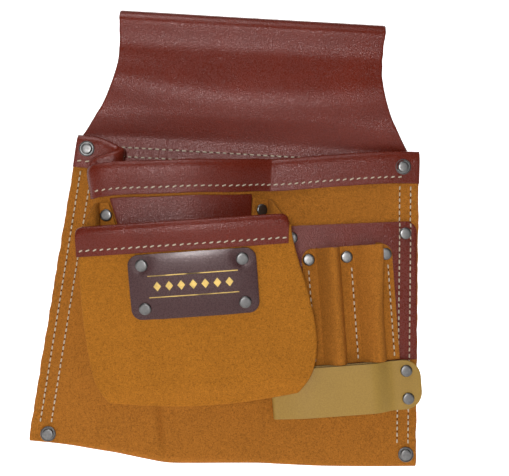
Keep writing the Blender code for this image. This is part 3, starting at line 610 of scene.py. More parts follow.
def smooth_leather(name, colour, roughness, grain=1.0, mottle=0.16, coat=0.0):
    """Top-grain leather: fine pebbles that glint, slow colour drift and a soft wax shine."""
    material, tree, shader, position = start_material(name)
    drift = remap(tree, noise_value(tree, position, 22.0, 4.0, 0.6), 0.3, 0.7, 0.0, 1.0)
    base = mixed_colour(tree, drift, scaled(colour, 1.0 - mottle), scaled(colour, 1.0 + mottle))
    speck = remap(tree, noise_value(tree, position, 1100.0, 2.0, 0.6), 0.35, 0.7, 0.0, 0.4)
    base = mixed_colour(tree, speck, base, scaled(colour, 1.5))
    pebbles = add_node(
        tree, "ShaderNodeTexVoronoi", {"Vector": position, "Scale": 1200.0, "Smoothness": 0.3},
        feature="SMOOTH_F1").outputs["Distance"]
    pores = noise_value(tree, position, 1700.0, 1.0, 0.6)
    height = math_node(tree, "ADD", math_node(tree, "MULTIPLY", pebbles, -0.6), pores)
    polish = remap(
        tree, noise_value(tree, position, 1000.0, 1.0, 0.6), 0.35, 0.65, roughness - 0.09, roughness + 0.14)
    fill(tree, shader, {
        "Base Color": base, "Roughness": polish, "Normal": bump(tree, height, 0.55 * grain, 0.0003),
        "Specular IOR Level": 0.38, "Specular Tint": (1.0, 0.76, 0.76, 1.0),
        "Coat Weight": coat, "Coat Roughness": 0.25,
    })
    return material


def napped_leather(name, colour, dark=0.74, light=1.25):
    """Suede or a flesh side: short nap brushed in patches, matte, with a soft sheen."""
    material, tree, shader, position = start_material(name)
    patches = remap(tree, noise_value(tree, position, 30.0, 5.0, 0.62), 0.32, 0.68, 0.0, 1.0)
    base = mixed_colour(
        tree, patches, scaled(colour, mix(1.0, dark, 0.45)), scaled(colour, mix(1.0, light, 0.4)))
    tufts = remap(tree, noise_value(tree, position, 520.0, 4.0, 0.75), 0.35, 0.65, 0.0, 1.0)
    base = mixed_colour(tree, math_node(tree, "MULTIPLY", tufts, 0.85), base, scaled(colour, light * 1.1))
    fibre = remap(tree, noise_value(tree, position, 1150.0, 3.0, 0.75), 0.32, 0.56, 1.0, 0.0)
    base = mixed_colour(tree, math_node(tree, "MULTIPLY", fibre, 0.9), base, scaled(colour, dark * 0.7))
    height = math_node(tree, "ADD", tufts, noise_value(tree, position, 1300.0, 3.0, 0.7))
    fill(tree, shader, {
        "Base Color": base, "Normal": bump(tree, height, 0.6, 0.0005), "Roughness": 0.95,
        "Specular IOR Level": 0.12, "Sheen Weight": 0.14, "Sheen Roughness": 0.5,
        "Sheen Tint": (*scaled(colour, 2.0), 1.0),
    })
    return material


def metal(name, colour, roughness):
    """Plated metal with fine tumbling marks and a little tarnish."""
    material, tree, shader, position = start_material(name)
    tarnish = remap(tree, noise_value(tree, position, 260.0, 4.0, 0.65), 0.35, 0.7, 0.0, 1.0)
    base = mixed_colour(tree, tarnish, colour, scaled(colour, 0.6))
    marks = noise_value(tree, position, 2600.0, 4.0, 0.75)
    polish = remap(tree, tarnish, 0.0, 1.0, roughness, roughness + 0.14)
    fill(tree, shader, {
        "Base Color": base, "Roughness": polish, "Normal": bump(tree, marks, 0.10, 0.00005), "Metallic": 1.0,
    })
    return material


def waxed_thread(name, colour):
    """Twisted thread, its strands running round each stitch."""
    material, tree, shader, position = start_material(name)
    uv = add_node(tree, "ShaderNodeTexCoord").outputs["UV"]
    strands = add_node(
        tree, "ShaderNodeTexWave", {"Vector": uv, "Scale": 1.6, "Distortion": 0.6},
        bands_direction="DIAGONAL").outputs["Fac"]
    soil = remap(tree, noise_value(tree, position, 160.0, 3.0, 0.6), 0.3, 0.7, 0.0, 1.0)
    base = mixed_colour(tree, soil, scaled(colour, 0.72), colour)
    base = mixed_colour(tree, math_node(tree, "MULTIPLY", strands, 0.35), scaled(colour, 0.6), base)
    fill(tree, shader, {"Base Color": base, "Normal": bump(tree, strands, 0.6, 0.0001), "Roughness": 0.7})
    return material


def glowing_pale_ground(name):
    """The pale floor, made to glow as painted light, dim in front of the pouch and brighter behind it."""
    material, tree, shader, position = start_material(name)
    depth = add_node(tree, "ShaderNodeSeparateXYZ", {"Vector": position}).outputs["Y"]
    fill(tree, shader, {
        "Base Color": (0.9, 0.9, 0.9, 1.0), "Roughness": 0.9, "Emission Color": (1.0, 1.0, 1.0, 1.0),
        # painted light: the floor glows, dim in front of the pouch and bright behind it
        "Emission Strength": remap(tree, depth, -0.35, 0.12, 0.2, 0.95),
    })
    return material


OXBLOOD = (0.116, 0.0140, 0.0062)
GOLD = (0.355, 0.128, 0.017)
POCKET_GOLD = (0.375, 0.138, 0.014)
BUFF = (0.304, 0.185, 0.037)
DARK = (0.038, 0.011, 0.012)

MATERIALS = {
    "oxblood": smooth_leather("oxblood leather", OXBLOOD, 0.27),
    "oxblood flesh": napped_leather("oxblood flesh side", (0.16, 0.045, 0.02)),
    "oxblood edge": napped_leather("oxblood cut edge", (0.075, 0.018, 0.012)),
    "suede": napped_leather("gold suede", GOLD),
    "pocket suede": napped_leather("yellower gold suede", POCKET_GOLD),
    "suede edge": napped_leather("suede cut edge", scaled(GOLD, 0.72)),
    "buff": smooth_leather("buff leather", BUFF, 0.40, grain=0.16, mottle=0.06),
    "buff flesh": napped_leather("buff flesh side", (0.40, 0.26, 0.10)),
    "buff edge": napped_leather("buff cut edge", (0.20, 0.13, 0.05)),
    "badge_leather": smooth_leather("badge leather", DARK, 0.27, grain=0.6, mottle=0.1, coat=0.45),
    "badge edge": napped_leather("badge cut edge", (0.03, 0.012, 0.012)),
    "nickel": metal("dark nickel", (0.215, 0.21, 0.207), 0.33),
    "foil": metal("gold foil", (0.72, 0.50, 0.16), 0.34),
    "thread": waxed_thread("waxed thread", (0.82, 0.72, 0.54)),
    # needle holes: a dark mark painted as the shade inside each hole
    "hole shade": napped_leather("painted needle-hole shade", (0.055, 0.014, 0.009)),
    "ground": glowing_pale_ground("pale ground with painted glow"),
}

# Face, back and cut edge of each kind of leather
LEATHERS = {
    "oxblood": ("oxblood", "oxblood flesh", "oxblood edge"),
    "suede": ("suede", "suede", "suede edge"),
    "pocket suede": ("pocket suede", "suede", "suede edge"),
    "buff": ("buff", "buff flesh", "buff edge"),
    "badge_leather": ("badge_leather", "badge edge", "badge edge"),
}


# ---------------------------------------------------------------- building

def add_object(name, data):
    """An object in the scene."""
    thing = bpy.data.objects.new(name, data)
    bpy.context.scene.collection.objects.link(thing)
    return thing


def leather_piece(name, shape, thickness, look, node, body="pouch", round_edges=0.3):
    """A sheet, from a mesh or rows of points, made leather with two sides and a soft cut edge."""
    mesh = grid_mesh(name, shape) if isinstance(shape, list) else shape
    thing = add_object(name, mesh)
    for key in LEATHERS[look]:
        mesh.materials.append(MATERIALS[key])
    shell = thing.modifiers.new("leather", "SOLIDIFY")
    shell.thickness = thickness * MM
    shell.offset = 0.0
    shell.material_offset = 1
    shell.material_offset_rim = 2
    bevel = thing.modifiers.new("soft edge", "BEVEL")
    bevel.width = round_edges * MM
    bevel.segments = 2
    bevel.limit_method = "ANGLE"
    bevel.angle_limit = math.radians(50.0)
    fasten(thing, body, node)
    return thing


def fasten(thing, body, *replaced):
    """Make a piece follow its body, or bake its placement into its mesh for the outer pocket, and hide the
    CAD nodes it stands for.
    """
    if body == "outer_pocket":
        blend_pocket(thing)
    elif body:
        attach(thing, body)
    if replaced:
        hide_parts(*replaced)


def grid_mesh(name, rows):
    """A smooth quad mesh through rows of points."""
    mesh = bpy.data.meshes.new(name)
    width = len(rows[0])
    points = [point for row in rows for point in row]
    faces = []
    for j in range(len(rows) - 1):
        for i in range(width - 1):
            corner = j * width + i
            faces.append((corner, corner + 1, corner + width + 1, corner + width))
    mesh.from_pydata(points, [], faces)
    mesh.shade_smooth()
    return mesh


def transposed(columns):
    """Columns of points as rows."""
    return [list(row) for row in zip(*columns)]


def turned(name, profile, look, seat, normal, body, *replaced):
    """A turned piece from (radius, height) points run down its outer side, set on a surface."""
    points = []
    faces = []
    for i in range(RIVET_SIDES):
        angle = 2.0 * math.pi * i / RIVET_SIDES
        for radius, height in profile:
            points.append((radius * MM * math.cos(angle), radius * MM * math.sin(angle), height * MM))
    count = len(profile)
    for i in range(RIVET_SIDES):
        here = i * count
        after = ((i + 1) % RIVET_SIDES) * count
        for j in range(count - 1):
            faces.append((here + j, here + j + 1, after + j + 1, after + j))
    mesh = bpy.data.meshes.new(name)
    mesh.from_pydata(points, [], faces)
    weld_and_smooth(mesh)
    mesh.materials.append(MATERIALS[look])
    thing = add_object(name, mesh)
    thing.matrix_world = Matrix.Translation(seat) @ normal.to_track_quat("Z", "Y").to_matrix().to_4x4()
    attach(thing, body)
    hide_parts(*replaced)


def weld_and_smooth(mesh):
    """Join doubled points, drop empty faces and shade smooth with sharp corners."""
    shape = bmesh.new()
    shape.from_mesh(mesh)
    bmesh.ops.remove_doubles(shape, verts=shape.verts, dist=0.000002)
    bmesh.ops.recalc_face_normals(shape, faces=shape.faces)
    shape.to_mesh(mesh)
    shape.free()
    mesh.shade_smooth()
    mesh.set_sharp_from_angle(angle=math.radians(38.0))


def stitch_points(here, side, up, share):
    """A ring of points round a stitch, thin and sunk at its ends."""
    full = math.sqrt(max(1.0 - share ** 4, 0.0))
    radius = THREAD_RADIUS * (0.45 + 0.55 * full)
    lift = THREAD_RADIUS * (1.25 * full - 0.85)
    points = []
    for turn in steps(0.0, 2.0 * math.pi, STITCH_SIDES)[:-1]:
        out = side * math.cos(turn) * radius + up * (math.sin(turn) * radius * 0.85 + lift)
        points.append(here + out * MM)
    return points


def hole_points(here, forward, side, up):
    """A flat round of points at a needle hole, with its raised middle and its bottom, to carry the hole's
    painted shade.
    """
    points = []
    for turn in steps(0.0, 2.0 * math.pi, STITCH_SIDES)[:-1]:
        out = forward * math.cos(turn) * HOLE_LENGTH + side * math.sin(turn) * HOLE_WIDTH
        points.append(here + out * MM)
    return points + [here + up * HOLE_PROUD * MM, here - up * HOLE_DEPTH * MM]


def stitch_row(name, path, normals, body, replaced=(), pitch=STITCH_PITCH, seed=1, slant=0.0):
    """A row of separate stitches along a path, with dark marks between them: painted shade of the needle
    holes.
    """
    chance = random.Random(seed)
    if isinstance(normals, Vector):
        normals = [normals] * len(path)
    lengths = [0.0]
    for a, b in zip(path, path[1:]):
        lengths.append(lengths[-1] + (b - a).length / MM)
    count = max(int(lengths[-1] / pitch), 1)
    sides = STITCH_SIDES
    points = []
    faces = []
    uvs = []
    for number in range(count):
        middle = (number + 0.5) * lengths[-1] / count + chance.uniform(-0.15, 0.15)
        half = STITCH_LENGTH / 2.0 * chance.uniform(0.92, 1.08)
        tilt = slant + math.radians(chance.uniform(-4.0, 4.0))
        for ring, share in enumerate(steps(-1.0, 1.0, STITCH_RINGS - 1)):
            here, forward, up = along_path(path, normals, lengths, middle + share * half)
            side = up.cross(forward).normalized()
            base = len(points)
            points += stitch_points(here + side * math.tan(tilt) * share * half * MM, side, up, share)
            uvs += [(ring * 0.5, k / sides) for k in range(sides)]
            if ring < STITCH_RINGS - 1:
                for a, b in ring_pairs(base):
                    faces.append((a, b, b + sides, a + sides))
        first = base - (STITCH_RINGS - 1) * sides
        faces.append(tuple(reversed(range(first, first + sides))))
        faces.append(tuple(range(base, base + sides)))
    thread_faces = len(faces)
    # dark marks at the needle holes: painted shade, not holes in the mesh
    for number in range(1, count):
        here, forward, up = along_path(path, normals, lengths, number * lengths[-1] / count)
        base = len(points)
        points += hole_points(here, forward, up.cross(forward).normalized(), up)
        uvs += [(0.0, 0.0)] * (sides + 2)
        for a, b in ring_pairs(base):
            faces += [(a, b, base + sides), (b, a, base + sides + 1)]
    mesh = bpy.data.meshes.new(name)
    mesh.from_pydata(points, [], faces)
    materials = [0] * thread_faces + [1] * (len(faces) - thread_faces)
    mesh.polygons.foreach_set("material_index", materials)
    layer = mesh.uv_layers.new(name="strand")
    for loop in mesh.loops:
        layer.data[loop.index].uv = uvs[loop.vertex_index]
    for look in ("thread", "hole shade"):
        mesh.materials.append(MATERIALS[look])
    weld_and_smooth(mesh)
    thing = add_object(name, mesh)
    fasten(thing, body, *replaced)


def ring_pairs(base):
    """Each point of a stitch's ring with the one after it, by index."""
    return [(base + k, base + (k + 1) % STITCH_SIDES) for k in range(STITCH_SIDES)]


def along_path(path, normals, lengths, distance):
    """Point, direction and surface normal at a distance along a path."""
    distance = min(max(distance, 0.0), lengths[-1])
    index = 0
    while index < len(lengths) - 2 and lengths[index + 1] < distance:
        index += 1
    span = lengths[index + 1] - lengths[index]
    share = (distance - lengths[index]) / span
    here = path[index].lerp(path[index + 1], share)
    up = normals[index].lerp(normals[index + 1], share).normalized()
    forward = (path[index + 1] - path[index]).normalized()
    return here, forward, up


# ---------------------------------------------------------------- main body

def plan_stops():
    """Places along the plan curve where columns of the mesh stand."""
    stops = [index + step / count for index, count in enumerate(PLAN_STEPS) for step in range(count)]
    return stops + [float(len(PLAN_STEPS))]


def fray(point, amount, size, seed, depth_size=9.0):
    """Move a point of a cut edge in or out, as hand cutting leaves it."""
    rough = noise.noise(Vector((point.z / MM / size, point.y / MM / depth_size, seed)))
    point.x += amount * rough * MM


def body_column(position):
    """Points down the rear sheet, round the foot and up the front to the mouth."""
    foot_x, foot_depth = spline(FOOT_PLAN, position)
    rear_y = rear_middle_y(BODY_FOOT)
    radius = (rear_y + foot_depth) / 2.0
    lowest = spline([(z,) for z in FOOT_HEIGHT], position)[0]
    centre_z = lowest + radius
    centre_depth = foot_depth - radius
    points = []
    for z in steps(REAR_TOP, -82.0, 18) + steps(-82.0, centre_z, 44)[1:-1]:
        spread = (foot_x - LEFT_FOOT) / (RIGHT_FOOT - LEFT_FOOT)
        x = mix(edge_x(-1, z), edge_x(1, z), spread)
        points.append(place(x, -rear_middle_y(z), z))
    for step in range(13):
        angle = math.pi * step / 12.0
        depth = centre_depth - radius * math.cos(angle)
        points.append(place(foot_x, depth, centre_z - radius * math.sin(angle)))
    for z in steps(centre_z, mouth_height(position), 96)[1:]:
        x, depth = front_sheet(position, z)
        points.append(place(x, depth, z))
    return points


def make_body():
    """The main pocket: one suede sheet folded at its foot, its sides cut by hand."""
    columns = [body_column(stop) for stop in plan_stops()]
    for side, sign in ((0, -1.0), (-1, 1.0)):
        for point in columns[side]:
            fray(point, sign * 0.55, 9.0, 4.0 + side)
            fray(point, sign * 0.2, 1.9, 9.0 + side)
    body = leather_piece("main_pocket_suede", transposed(columns), SUEDE, "suede", "main_pocket_body")


def make_yoke():
    """The smooth yoke, folded over at the top to make the belt loop."""
    rows = []
    across = steps(-1.0, 1.0, 90)
    for z in steps(YOKE_FRONT_BOTTOM, BODY_TOP - 1.0, 8) + steps(BODY_TOP + 1.0, YOKE_FOLD_Z, 60):
        row = [mix(yoke_edge(-1, z), yoke_edge(1, z), (share + 1.0) / 2.0) for share in across]
        rows.append([place(x, yoke_front_depth(x, z), z) for x in row])
    rise = TUNNEL_TOP - YOKE_LEATHER / 2.0 - YOKE_FOLD_Z
    for angle in steps(0.0, math.pi, 16)[1:-1]:
        row = []
        for share in across:
            x = FLAP_HALF_TOP * share
            front = yoke_front_depth(x, YOKE_FOLD_Z)
            middle = (front - FLAP_MIDDLE_Y) / 2.0
            radius = (front + FLAP_MIDDLE_Y) / 2.0
            row.append(place(x, middle + radius * math.cos(angle), YOKE_FOLD_Z + rise * math.sin(angle)))
        rows.append(row)
    for z in steps(FLAP_TOP, FLAP_BOTTOM, 44):
        half = mix(FLAP_HALF_TOP, FLAP_HALF_BOTTOM, (FLAP_TOP - z) / (FLAP_TOP - FLAP_BOTTOM))
        rows.append([place(half * share, -FLAP_MIDDLE_Y, z) for share in across])
    for row in rows:
        fray(row[0], -0.3, 6.0, 2.0, 6.0)
        fray(row[-1], 0.3, 6.0, 1.0, 6.0)
    yoke = leather_piece("yoke_leather", rows, YOKE_LEATHER, "oxblood", "belt_loop_yoke", round_edges=0.5)


def binding_rows(edge_points, stops, face, inside, taper=0.0):
    """Rows of a strip folded over a pocket mouth, its inside shortened near ends that taper."""
    columns = []
    stand = SUEDE / 2.0 + BINDING_GAP + TRIM_LEATHER / 2.0
    for stop in stops:
        points = []
        for drop in steps(face, 0.0, 16):
            point, normal = edge_points(stop, drop)
            plump = BINDING_PLUMP * math.sin(math.pi * clamp((drop + 0.5) / (face - 3.0)) ** 0.62)
            points.append(point + normal * (stand + plump) * MM)
        top, normal = edge_points(stop, 0.0)
        up = (top - edge_points(stop, 1.0)[0]).normalized()
        for turn in steps(0.0, math.pi, 12)[1:-1]:
            points.append(top + (normal * math.cos(turn) + up * math.sin(turn)) * stand * MM)
        reach = inside
        if taper:
            reach = mix(1.0, inside, ease(min(stop - stops[0], stops[-1] - stop) / taper))
        for drop in steps(0.0, reach, 8):
            point, normal = edge_points(stop, drop)
            points.append(point - normal * stand * MM)
        columns.append(points)
    return transposed(columns)


def main_edge(stop, drop):
    """Middle point and outward normal of the main front below its mouth."""
    z = mouth_height(stop) - drop
    here = place(*front_sheet(stop, z), z)
    step = 0.05
    before = place(*front_sheet(max(stop - step, 0.0), z), z)
    after = place(*front_sheet(min(stop + step, len(MOUTH_PLAN) - 1.0), z), z)
    below = place(*front_sheet(stop, z - 1.0), z - 1.0)
    normal = (after - before).cross(here - below)
    return here, normal.normalized()


def make_main_trim():
    """The binding of the main mouth."""
    rows = binding_rows(main_edge, plan_stops(), TRIM_FACE, TRIM_INSIDE)
    trim = leather_piece("main_binding", rows, TRIM_LEATHER, "oxblood", "main_pocket_trim")


def make_patch():
    """The smooth patch that takes the wear behind the outer pocket's mouth."""
    stand = GAP + TRIM_LEATHER / 2.0
    rows = []
    for down in steps(0.0, 1.0, 34):
        row = []
        for x in steps(PATCH_LEFT + PATCH_SLANT * down, PATCH_RIGHT + PATCH_FLARE * down, 46):
            top = mouth_height(front_position(x, PATCH_BAND_Z)) - TRIM_FACE - PATCH_TOP_GAP
            z = mix(top, PATCH_BOTTOM, down)
            row.append(place(x, front_face(x, z) + stand, z))
        rows.append(row)
    patch = leather_piece("wear_patch_leather", rows[::-1], TRIM_LEATHER, "oxblood", "wear_patch")


# ---------------------------------------------------------------- outer pocket

def blend_pocket(piece):
    """Bake a piece of the outer pocket's placement into its mesh."""
    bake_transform(piece)


def pocket_edge(stop, drop):
    """Middle point and outward normal of the outer pocket's front below its mouth."""
    x, z = pocket_layout(stop, 0.0)
    lower_x, lower_z = pocket_layout(stop, 0.1)
    length = math.hypot(lower_x - x, lower_z - z)
    fall = corner_drop(stop)
    drop = fall + drop * (1.0 - fall / POCKET_TRIM_FACE)
    x += (lower_x - x) * drop / length
    z += (lower_z - z) * drop / length
    here = place(x, pocket_middle(x, z), z)
    right = place(x + 1.0, pocket_middle(x + 1.0, z), z)
    below = place(x, pocket_middle(x, z - 1.0), z - 1.0)
    return here, (right - here).cross(here - below).normalized()


def pocket_rim():
    """Outline of the pocket's front and its seam line, in step, down, across and up."""
    last = len(POCKET_LEFT) - 1
    pairs = []
    for j in range(POCKET_ROWS):
        share = j / POCKET_ROWS
        pairs.append(((0.0, share), spline(SEAM_LEFT, share * last), (1.0, 0.0)))
    for share in pocket_columns():
        seam = mix_points(SEAM_LEFT[-1], SEAM_RIGHT[-1], share)
        pairs.append(((share, 1.0), seam, (1.0 - 2.0 * share, 1.0)))
    for j in range(POCKET_ROWS - 1, -1, -1):
        share = j / POCKET_ROWS
        pairs.append(((1.0, share), spline(SEAM_RIGHT, share * last), (-1.0, 0.0)))
    return pairs


def skirt_point(rim_point, inward_share, back_share):
    """A point of the pocket's folded side, or of the flange sewn to the main pocket."""
    (column, row), seam, inward = rim_point
    stand = 2.0 * GAP + SUEDE / 2.0
    x, z = pocket_layout(column, row)
    edge = (x, z - corner_drop(column) * (1.0 - row) ** 10)
    x, z = mix_points(edge, seam, min(inward_share, 1.0))
    if inward_share > 1.0:
        length = math.hypot(*inward)
        flange = FLANGE
        if column == 0.0:
            flange = mix(EAR_TOP, FLANGE, clamp(row / EAR_SHARE))
        x += inward[0] / length * flange * (inward_share - 1.0)
        z += inward[1] / length * flange * (inward_share - 1.0)
    depth = mix(pocket_middle(*edge), front_face(*seam) + stand, back_share)
    if back_share >= 1.0:
        depth = front_face(x, z) + stand
    return place(x, depth, z)


def make_outer_pocket():
    """The outer pocket: a crowned front whose edges fold back to the main pocket."""
    points = []
    faces = []
    for row in steps(0.0, 1.0, POCKET_ROWS):
        for column in pocket_columns():
            x, z = pocket_layout(column, row)
            z -= corner_drop(column) * (1.0 - row) ** 10
            points.append(place(x, pocket_middle(x, z), z))
    width = POCKET_COLUMNS + 1
    for j in range(POCKET_ROWS):
        for i in range(POCKET_COLUMNS):
            corner = j * width + i
            faces.append((corner, corner + width, corner + width + 1, corner + 1))
    ring = [j * width for j in range(POCKET_ROWS)]
    ring += [POCKET_ROWS * width + i for i in range(width)]
    ring += [j * width + POCKET_COLUMNS for j in range(POCKET_ROWS - 1, -1, -1)]
    soft = set(ring)
    rim = pocket_rim()
    rings = [spline(SKIRT, share * (len(SKIRT) - 1)) for share in steps(0.0, 1.0, SKIRT_RINGS)[1:]]
    rings += [(1.0 + share, 1.0) for share in steps(0.0, 1.0, FLANGE_RINGS)[1:]]
    for number, (inward_share, back_share) in enumerate(rings):
        new_ring = []
        for rim_point in rim:
            new_ring.append(len(points))
            points.append(skirt_point(rim_point, inward_share, back_share))
        for i in range(len(ring) - 1):
            faces.append((ring[i], new_ring[i], new_ring[i + 1], ring[i + 1]))
        if number < 3:
            soft.update(new_ring)
        ring = new_ring
    for i in range(1, POCKET_COLUMNS):
        soft.add((POCKET_ROWS - 1) * width + i)
    for j in range(1, POCKET_ROWS):
        for i in range(1, len(POCKET_SIDE_STEPS)):
            soft.update((j * width + i, j * width + POCKET_COLUMNS - i))
    mesh = bpy.data.meshes.new("outer_pocket_suede")
    mesh.from_pydata(points, [], faces)
    round_corner(mesh, soft, 8)
    mesh.shade_smooth()
    pocket = leather_piece(
        "outer_pocket_suede", mesh, SUEDE, "pocket suede", "outer_pocket_panel", "outer_pocket")


def round_corner(mesh, chosen, times):
    """Round a folded corner by evening out chosen points."""
    shape = bmesh.new()
    shape.from_mesh(mesh)
    shape.verts.ensure_lookup_table()
    verts = [shape.verts[i] for i in sorted(chosen) if not shape.verts[i].is_boundary]
    axes = {"use_axis_x": True, "use_axis_y": True, "use_axis_z": True}
    for _ in range(times):
        bmesh.ops.smooth_vert(shape, verts=verts, factor=0.5, **axes)
    shape.to_mesh(mesh)
    shape.free()


def make_pocket_trim():
    """The binding of the outer pocket's mouth."""
    stops = [mix(POCKET_TRIM_START, POCKET_TRIM_END, share) for share in pocket_columns()]
    rows = binding_rows(pocket_edge, stops, POCKET_TRIM_FACE, POCKET_TRIM_INSIDE, POCKET_TRIM_TAPER)
    trim = leather_piece("outer_binding", rows, TRIM_LEATHER, "oxblood", "outer_pocket_trim", "outer_pocket")


def badge_place(along, across, lift):
    """A point over the outer pocket, on the badge's own axes."""
    x, z = slanted(BADGE_CENTRE, POCKET_SLANT, along, across)
    return place(x, pocket_middle(x, z) + lift, z)


def make_badge():
    """The padded badge, drawn in at its four rivets."""
    stand = SUEDE / 2.0 + GAP + BADGE_LEATHER / 2.0
    rows = []
    inner = 1.0 - BADGE_ROUND / BADGE_HALF_HEIGHT
    for share in rounded_shares(inner, 26):
        across = share * BADGE_HALF_HEIGHT
        half = BADGE_HALF_WIDTH - rounded_half(across, BADGE_HALF_HEIGHT, BADGE_ROUND)
        row = [half * side for side in steps(-1.0, 1.0, 60)]
        rows.append([badge_place(along, across, stand + badge_relief(along, across)) for along in row])
    badge = leather_piece(
        "badge_plate", rows, BADGE_LEATHER, "badge_leather", "badge", "outer_pocket", round_edges=0.5)


def foil_shape(outline):
    """Points and faces of a thin foil shape, from an outline on the badge's own axes."""
    top = SUEDE / 2.0 + GAP + BADGE_LEATHER
    points = []
    for lift in (top + FOIL_PROUD, top - FOIL_SUNK):
        for along, across in outline:
            points.append(badge_place(along, across, lift + badge_relief(along, across)))
    count = len(outline)
    faces = [tuple(range(count)), tuple(range(2 * count - 1, count - 1, -1))]
    for i in range(count):
        after = (i + 1) % count
        faces.append((i, i + count, after + count, after))
    return points, faces


def make_ornament():
    """A plain gold rule above and below a row of small diamonds."""
    outlines = []
    for level in (-RULE_Z, RULE_Z):
        low, high = level - RULE_HALF, level + RULE_HALF
        for left in steps(-RULE_REACH, RULE_REACH - RULE_PIECE, 9):
            right = left + RULE_PIECE
            outlines.append([(left, low), (right, low), (right, high), (left, high)])
    wide, tall = DIAMOND
    for centre in steps(-DIAMOND_REACH, DIAMOND_REACH, 6):
        outlines.append([(centre - wide, 0.0), (centre, -tall), (centre + wide, 0.0), (centre, tall)])
    points = []
    faces = []
    for outline in outlines:
        start = len(points)
        new_points, new_faces = foil_shape(outline)
        points += new_points
        faces += [tuple(index + start for index in face) for face in new_faces]
    mesh = bpy.data.meshes.new("badge_foil")
    mesh.from_pydata(points, [], faces)
    weld_and_smooth(mesh)
    mesh.materials.append(MATERIALS["foil"])
    blend_pocket(add_object("badge_foil", mesh))


# ---------------------------------------------------------------- tool loops

def make_backing():
    """The smooth backing behind the tool loops."""
    top_left, top_right, bottom_right, bottom_left = BACKING_CORNERS
    stand = GAP + BACKING_LEATHER / 2.0
    height = top_right[1] - bottom_right[1]
    rows = []
    for share in corner_shares(BACKING_CORNER_SHARE, 50):
        left = mix_points(top_left, bottom_left, share)
        right = mix_points(top_right, bottom_right, share)
        shorten = rounded_half(height * (1.0 - share), height, BACKING_ROUND)
        keep = 1.0 - shorten / (right[0] - left[0])
        row = [mix_points(left, right, keep * across) for across in steps(0.0, 1.0, 50)]
        rows.append([place(x, front_face(x, z) + stand, z) for x, z in row])
    backing = leather_piece(
        "loop_backing_leather", rows[::-1], BACKING_LEATHER, "oxblood", "tool_loop_backing")


def loop_columns():
    """Places across the tool-loop strip, closer together where its tubes meet the backing."""
    stops = steps(LOOP_LEFT, LOOP_TUBES[0][0], 8)
    for (left, right), after in zip(LOOP_TUBES, (LOOP_TUBES[1][0], LOOP_RIGHT)):
        for turn in steps(0.0, math.pi, 30)[1:]:
            stops.append(mix(left, right, (1.0 - math.cos(turn)) / 2.0))
        stops += steps(right, after, 8)[1:]
    return stops


def make_tool_loops():
    """One suede strip that rises into two tubes between its stitched lines."""
    middle = (LOOP_LEFT + LOOP_RIGHT) / 2.0
    height = LOOP_BOTTOM - LOOP_TOP
    rows = []
    for share in corner_shares(LOOP_CORNER / height, 40):
        down = mix(LOOP_TOP, LOOP_BOTTOM, share)
        shorten = rounded_half(LOOP_BOTTOM - down, height, LOOP_CORNER)
        row = []
        for stop in loop_columns():
            edge_share = clamp((abs(stop - middle) - 20.0) / (LOOP_RIGHT - middle - 20.0))
            along = stop - math.copysign(shorten * edge_share, stop - middle)
            wobble = HIDE_SWELL * hide_wave(stop, 0.0, 9.0, 5.0) * clamp(1.0 - share / 0.1)
            rise = loop_offset(stop, down)
            lean = LOOP_OVERHANG * rise * ease((stop - LOOP_TUBES[1][0]) / 14.0) * (1.0 - ease(share / 0.75))
            x, z = loop_point(along + lean, down + wobble)
            row.append(place(x, front_face(x, z) + loop_stand() + rise, z))
        rows.append(row)
    strip = leather_piece("tool_loop_suede", rows[::-1], SUEDE, "suede", "tool_loop_strip")


# ---------------------------------------------------------------- hammer loop

def strap_path():
    """Run of the folded strap's middle, as (along, depth), from rear end to front end."""
    radius = (STRAP_FOLD_OPENING + STRAP_LEATHER) / 2.0
    rear = STRAP_REAR_DEPTH
    fold = rear + 2.0 * radius
    front = rear + STRAP_OPENING + STRAP_LEATHER + STRAP_SWELL
    pinched = rear + STRAP_LEATHER + GAP
    turn = STRAP_LEFT + STRAP_LEATHER / 2.0 + radius
    path = [(along, rear) for along in steps(STRAP_RIGHT, STRAP_PINCH, 8) + steps(STRAP_PINCH, turn, 26)[1:]]
    for angle in steps(0.0, math.pi, 14)[1:-1]:
        path.append((turn - radius * math.sin(angle), rear + radius * (1.0 - math.cos(angle))))
    for along in steps(turn, STRAP_PINCH, 40):
        opened = math.sin(math.pi / 2.0 * clamp((along - turn) / STRAP_SWELL_RUN))
        share = ease((along - STRAP_PINCH + STRAP_PINCH_RUN) / STRAP_PINCH_RUN)
        path.append((along, mix(mix(fold, front, opened), pinched, share)))
    return path + [(along, pinched) for along in steps(STRAP_PINCH, STRAP_RIGHT, 8)[1:]]


def make_strap():
    """The hammer loop: a smooth strap folded double, its riveted ends rounded."""
    rows = []
    for share in rounded_shares(1.0 - 2.0 * STRAP_ROUND / STRAP_WIDTH, 12):
        across = share * STRAP_WIDTH / 2.0
        shorten = rounded_half(across, STRAP_WIDTH / 2.0, STRAP_ROUND)
        row = []
        for along, depth in strap_path():
            squeeze = clamp((along - STRAP_PINCH) / (STRAP_RIGHT - STRAP_PINCH))
            x, z = slanted(STRAP_CENTRE, STRAP_SLANT, along - shorten * squeeze, across)
            row.append(place(x, depth, z))
        rows.append(row)
    strap = leather_piece(
        "hammer_loop_leather", rows, STRAP_LEATHER, "buff", "hammer_loop_strap", None, round_edges=0.35)
    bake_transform(strap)


# ---------------------------------------------------------------- rivets

def cap_profile(base, radius, height, stack):
    """A domed cap with a flat crown and the post below it."""
    return [
        (0.0, base + height), (radius * 0.55, base + height * 0.985), (radius * 0.78, base + height * 0.94),
        (radius * 0.87, base + height * 0.85), (radius * 0.94, base + height * 0.66),
        (radius * 0.985, base + height * 0.38), (radius, base + height * 0.12), (radius * 0.97, base),
        (POST_RADIUS, base), (POST_RADIUS, -stack), (0.0, -stack),
    ]


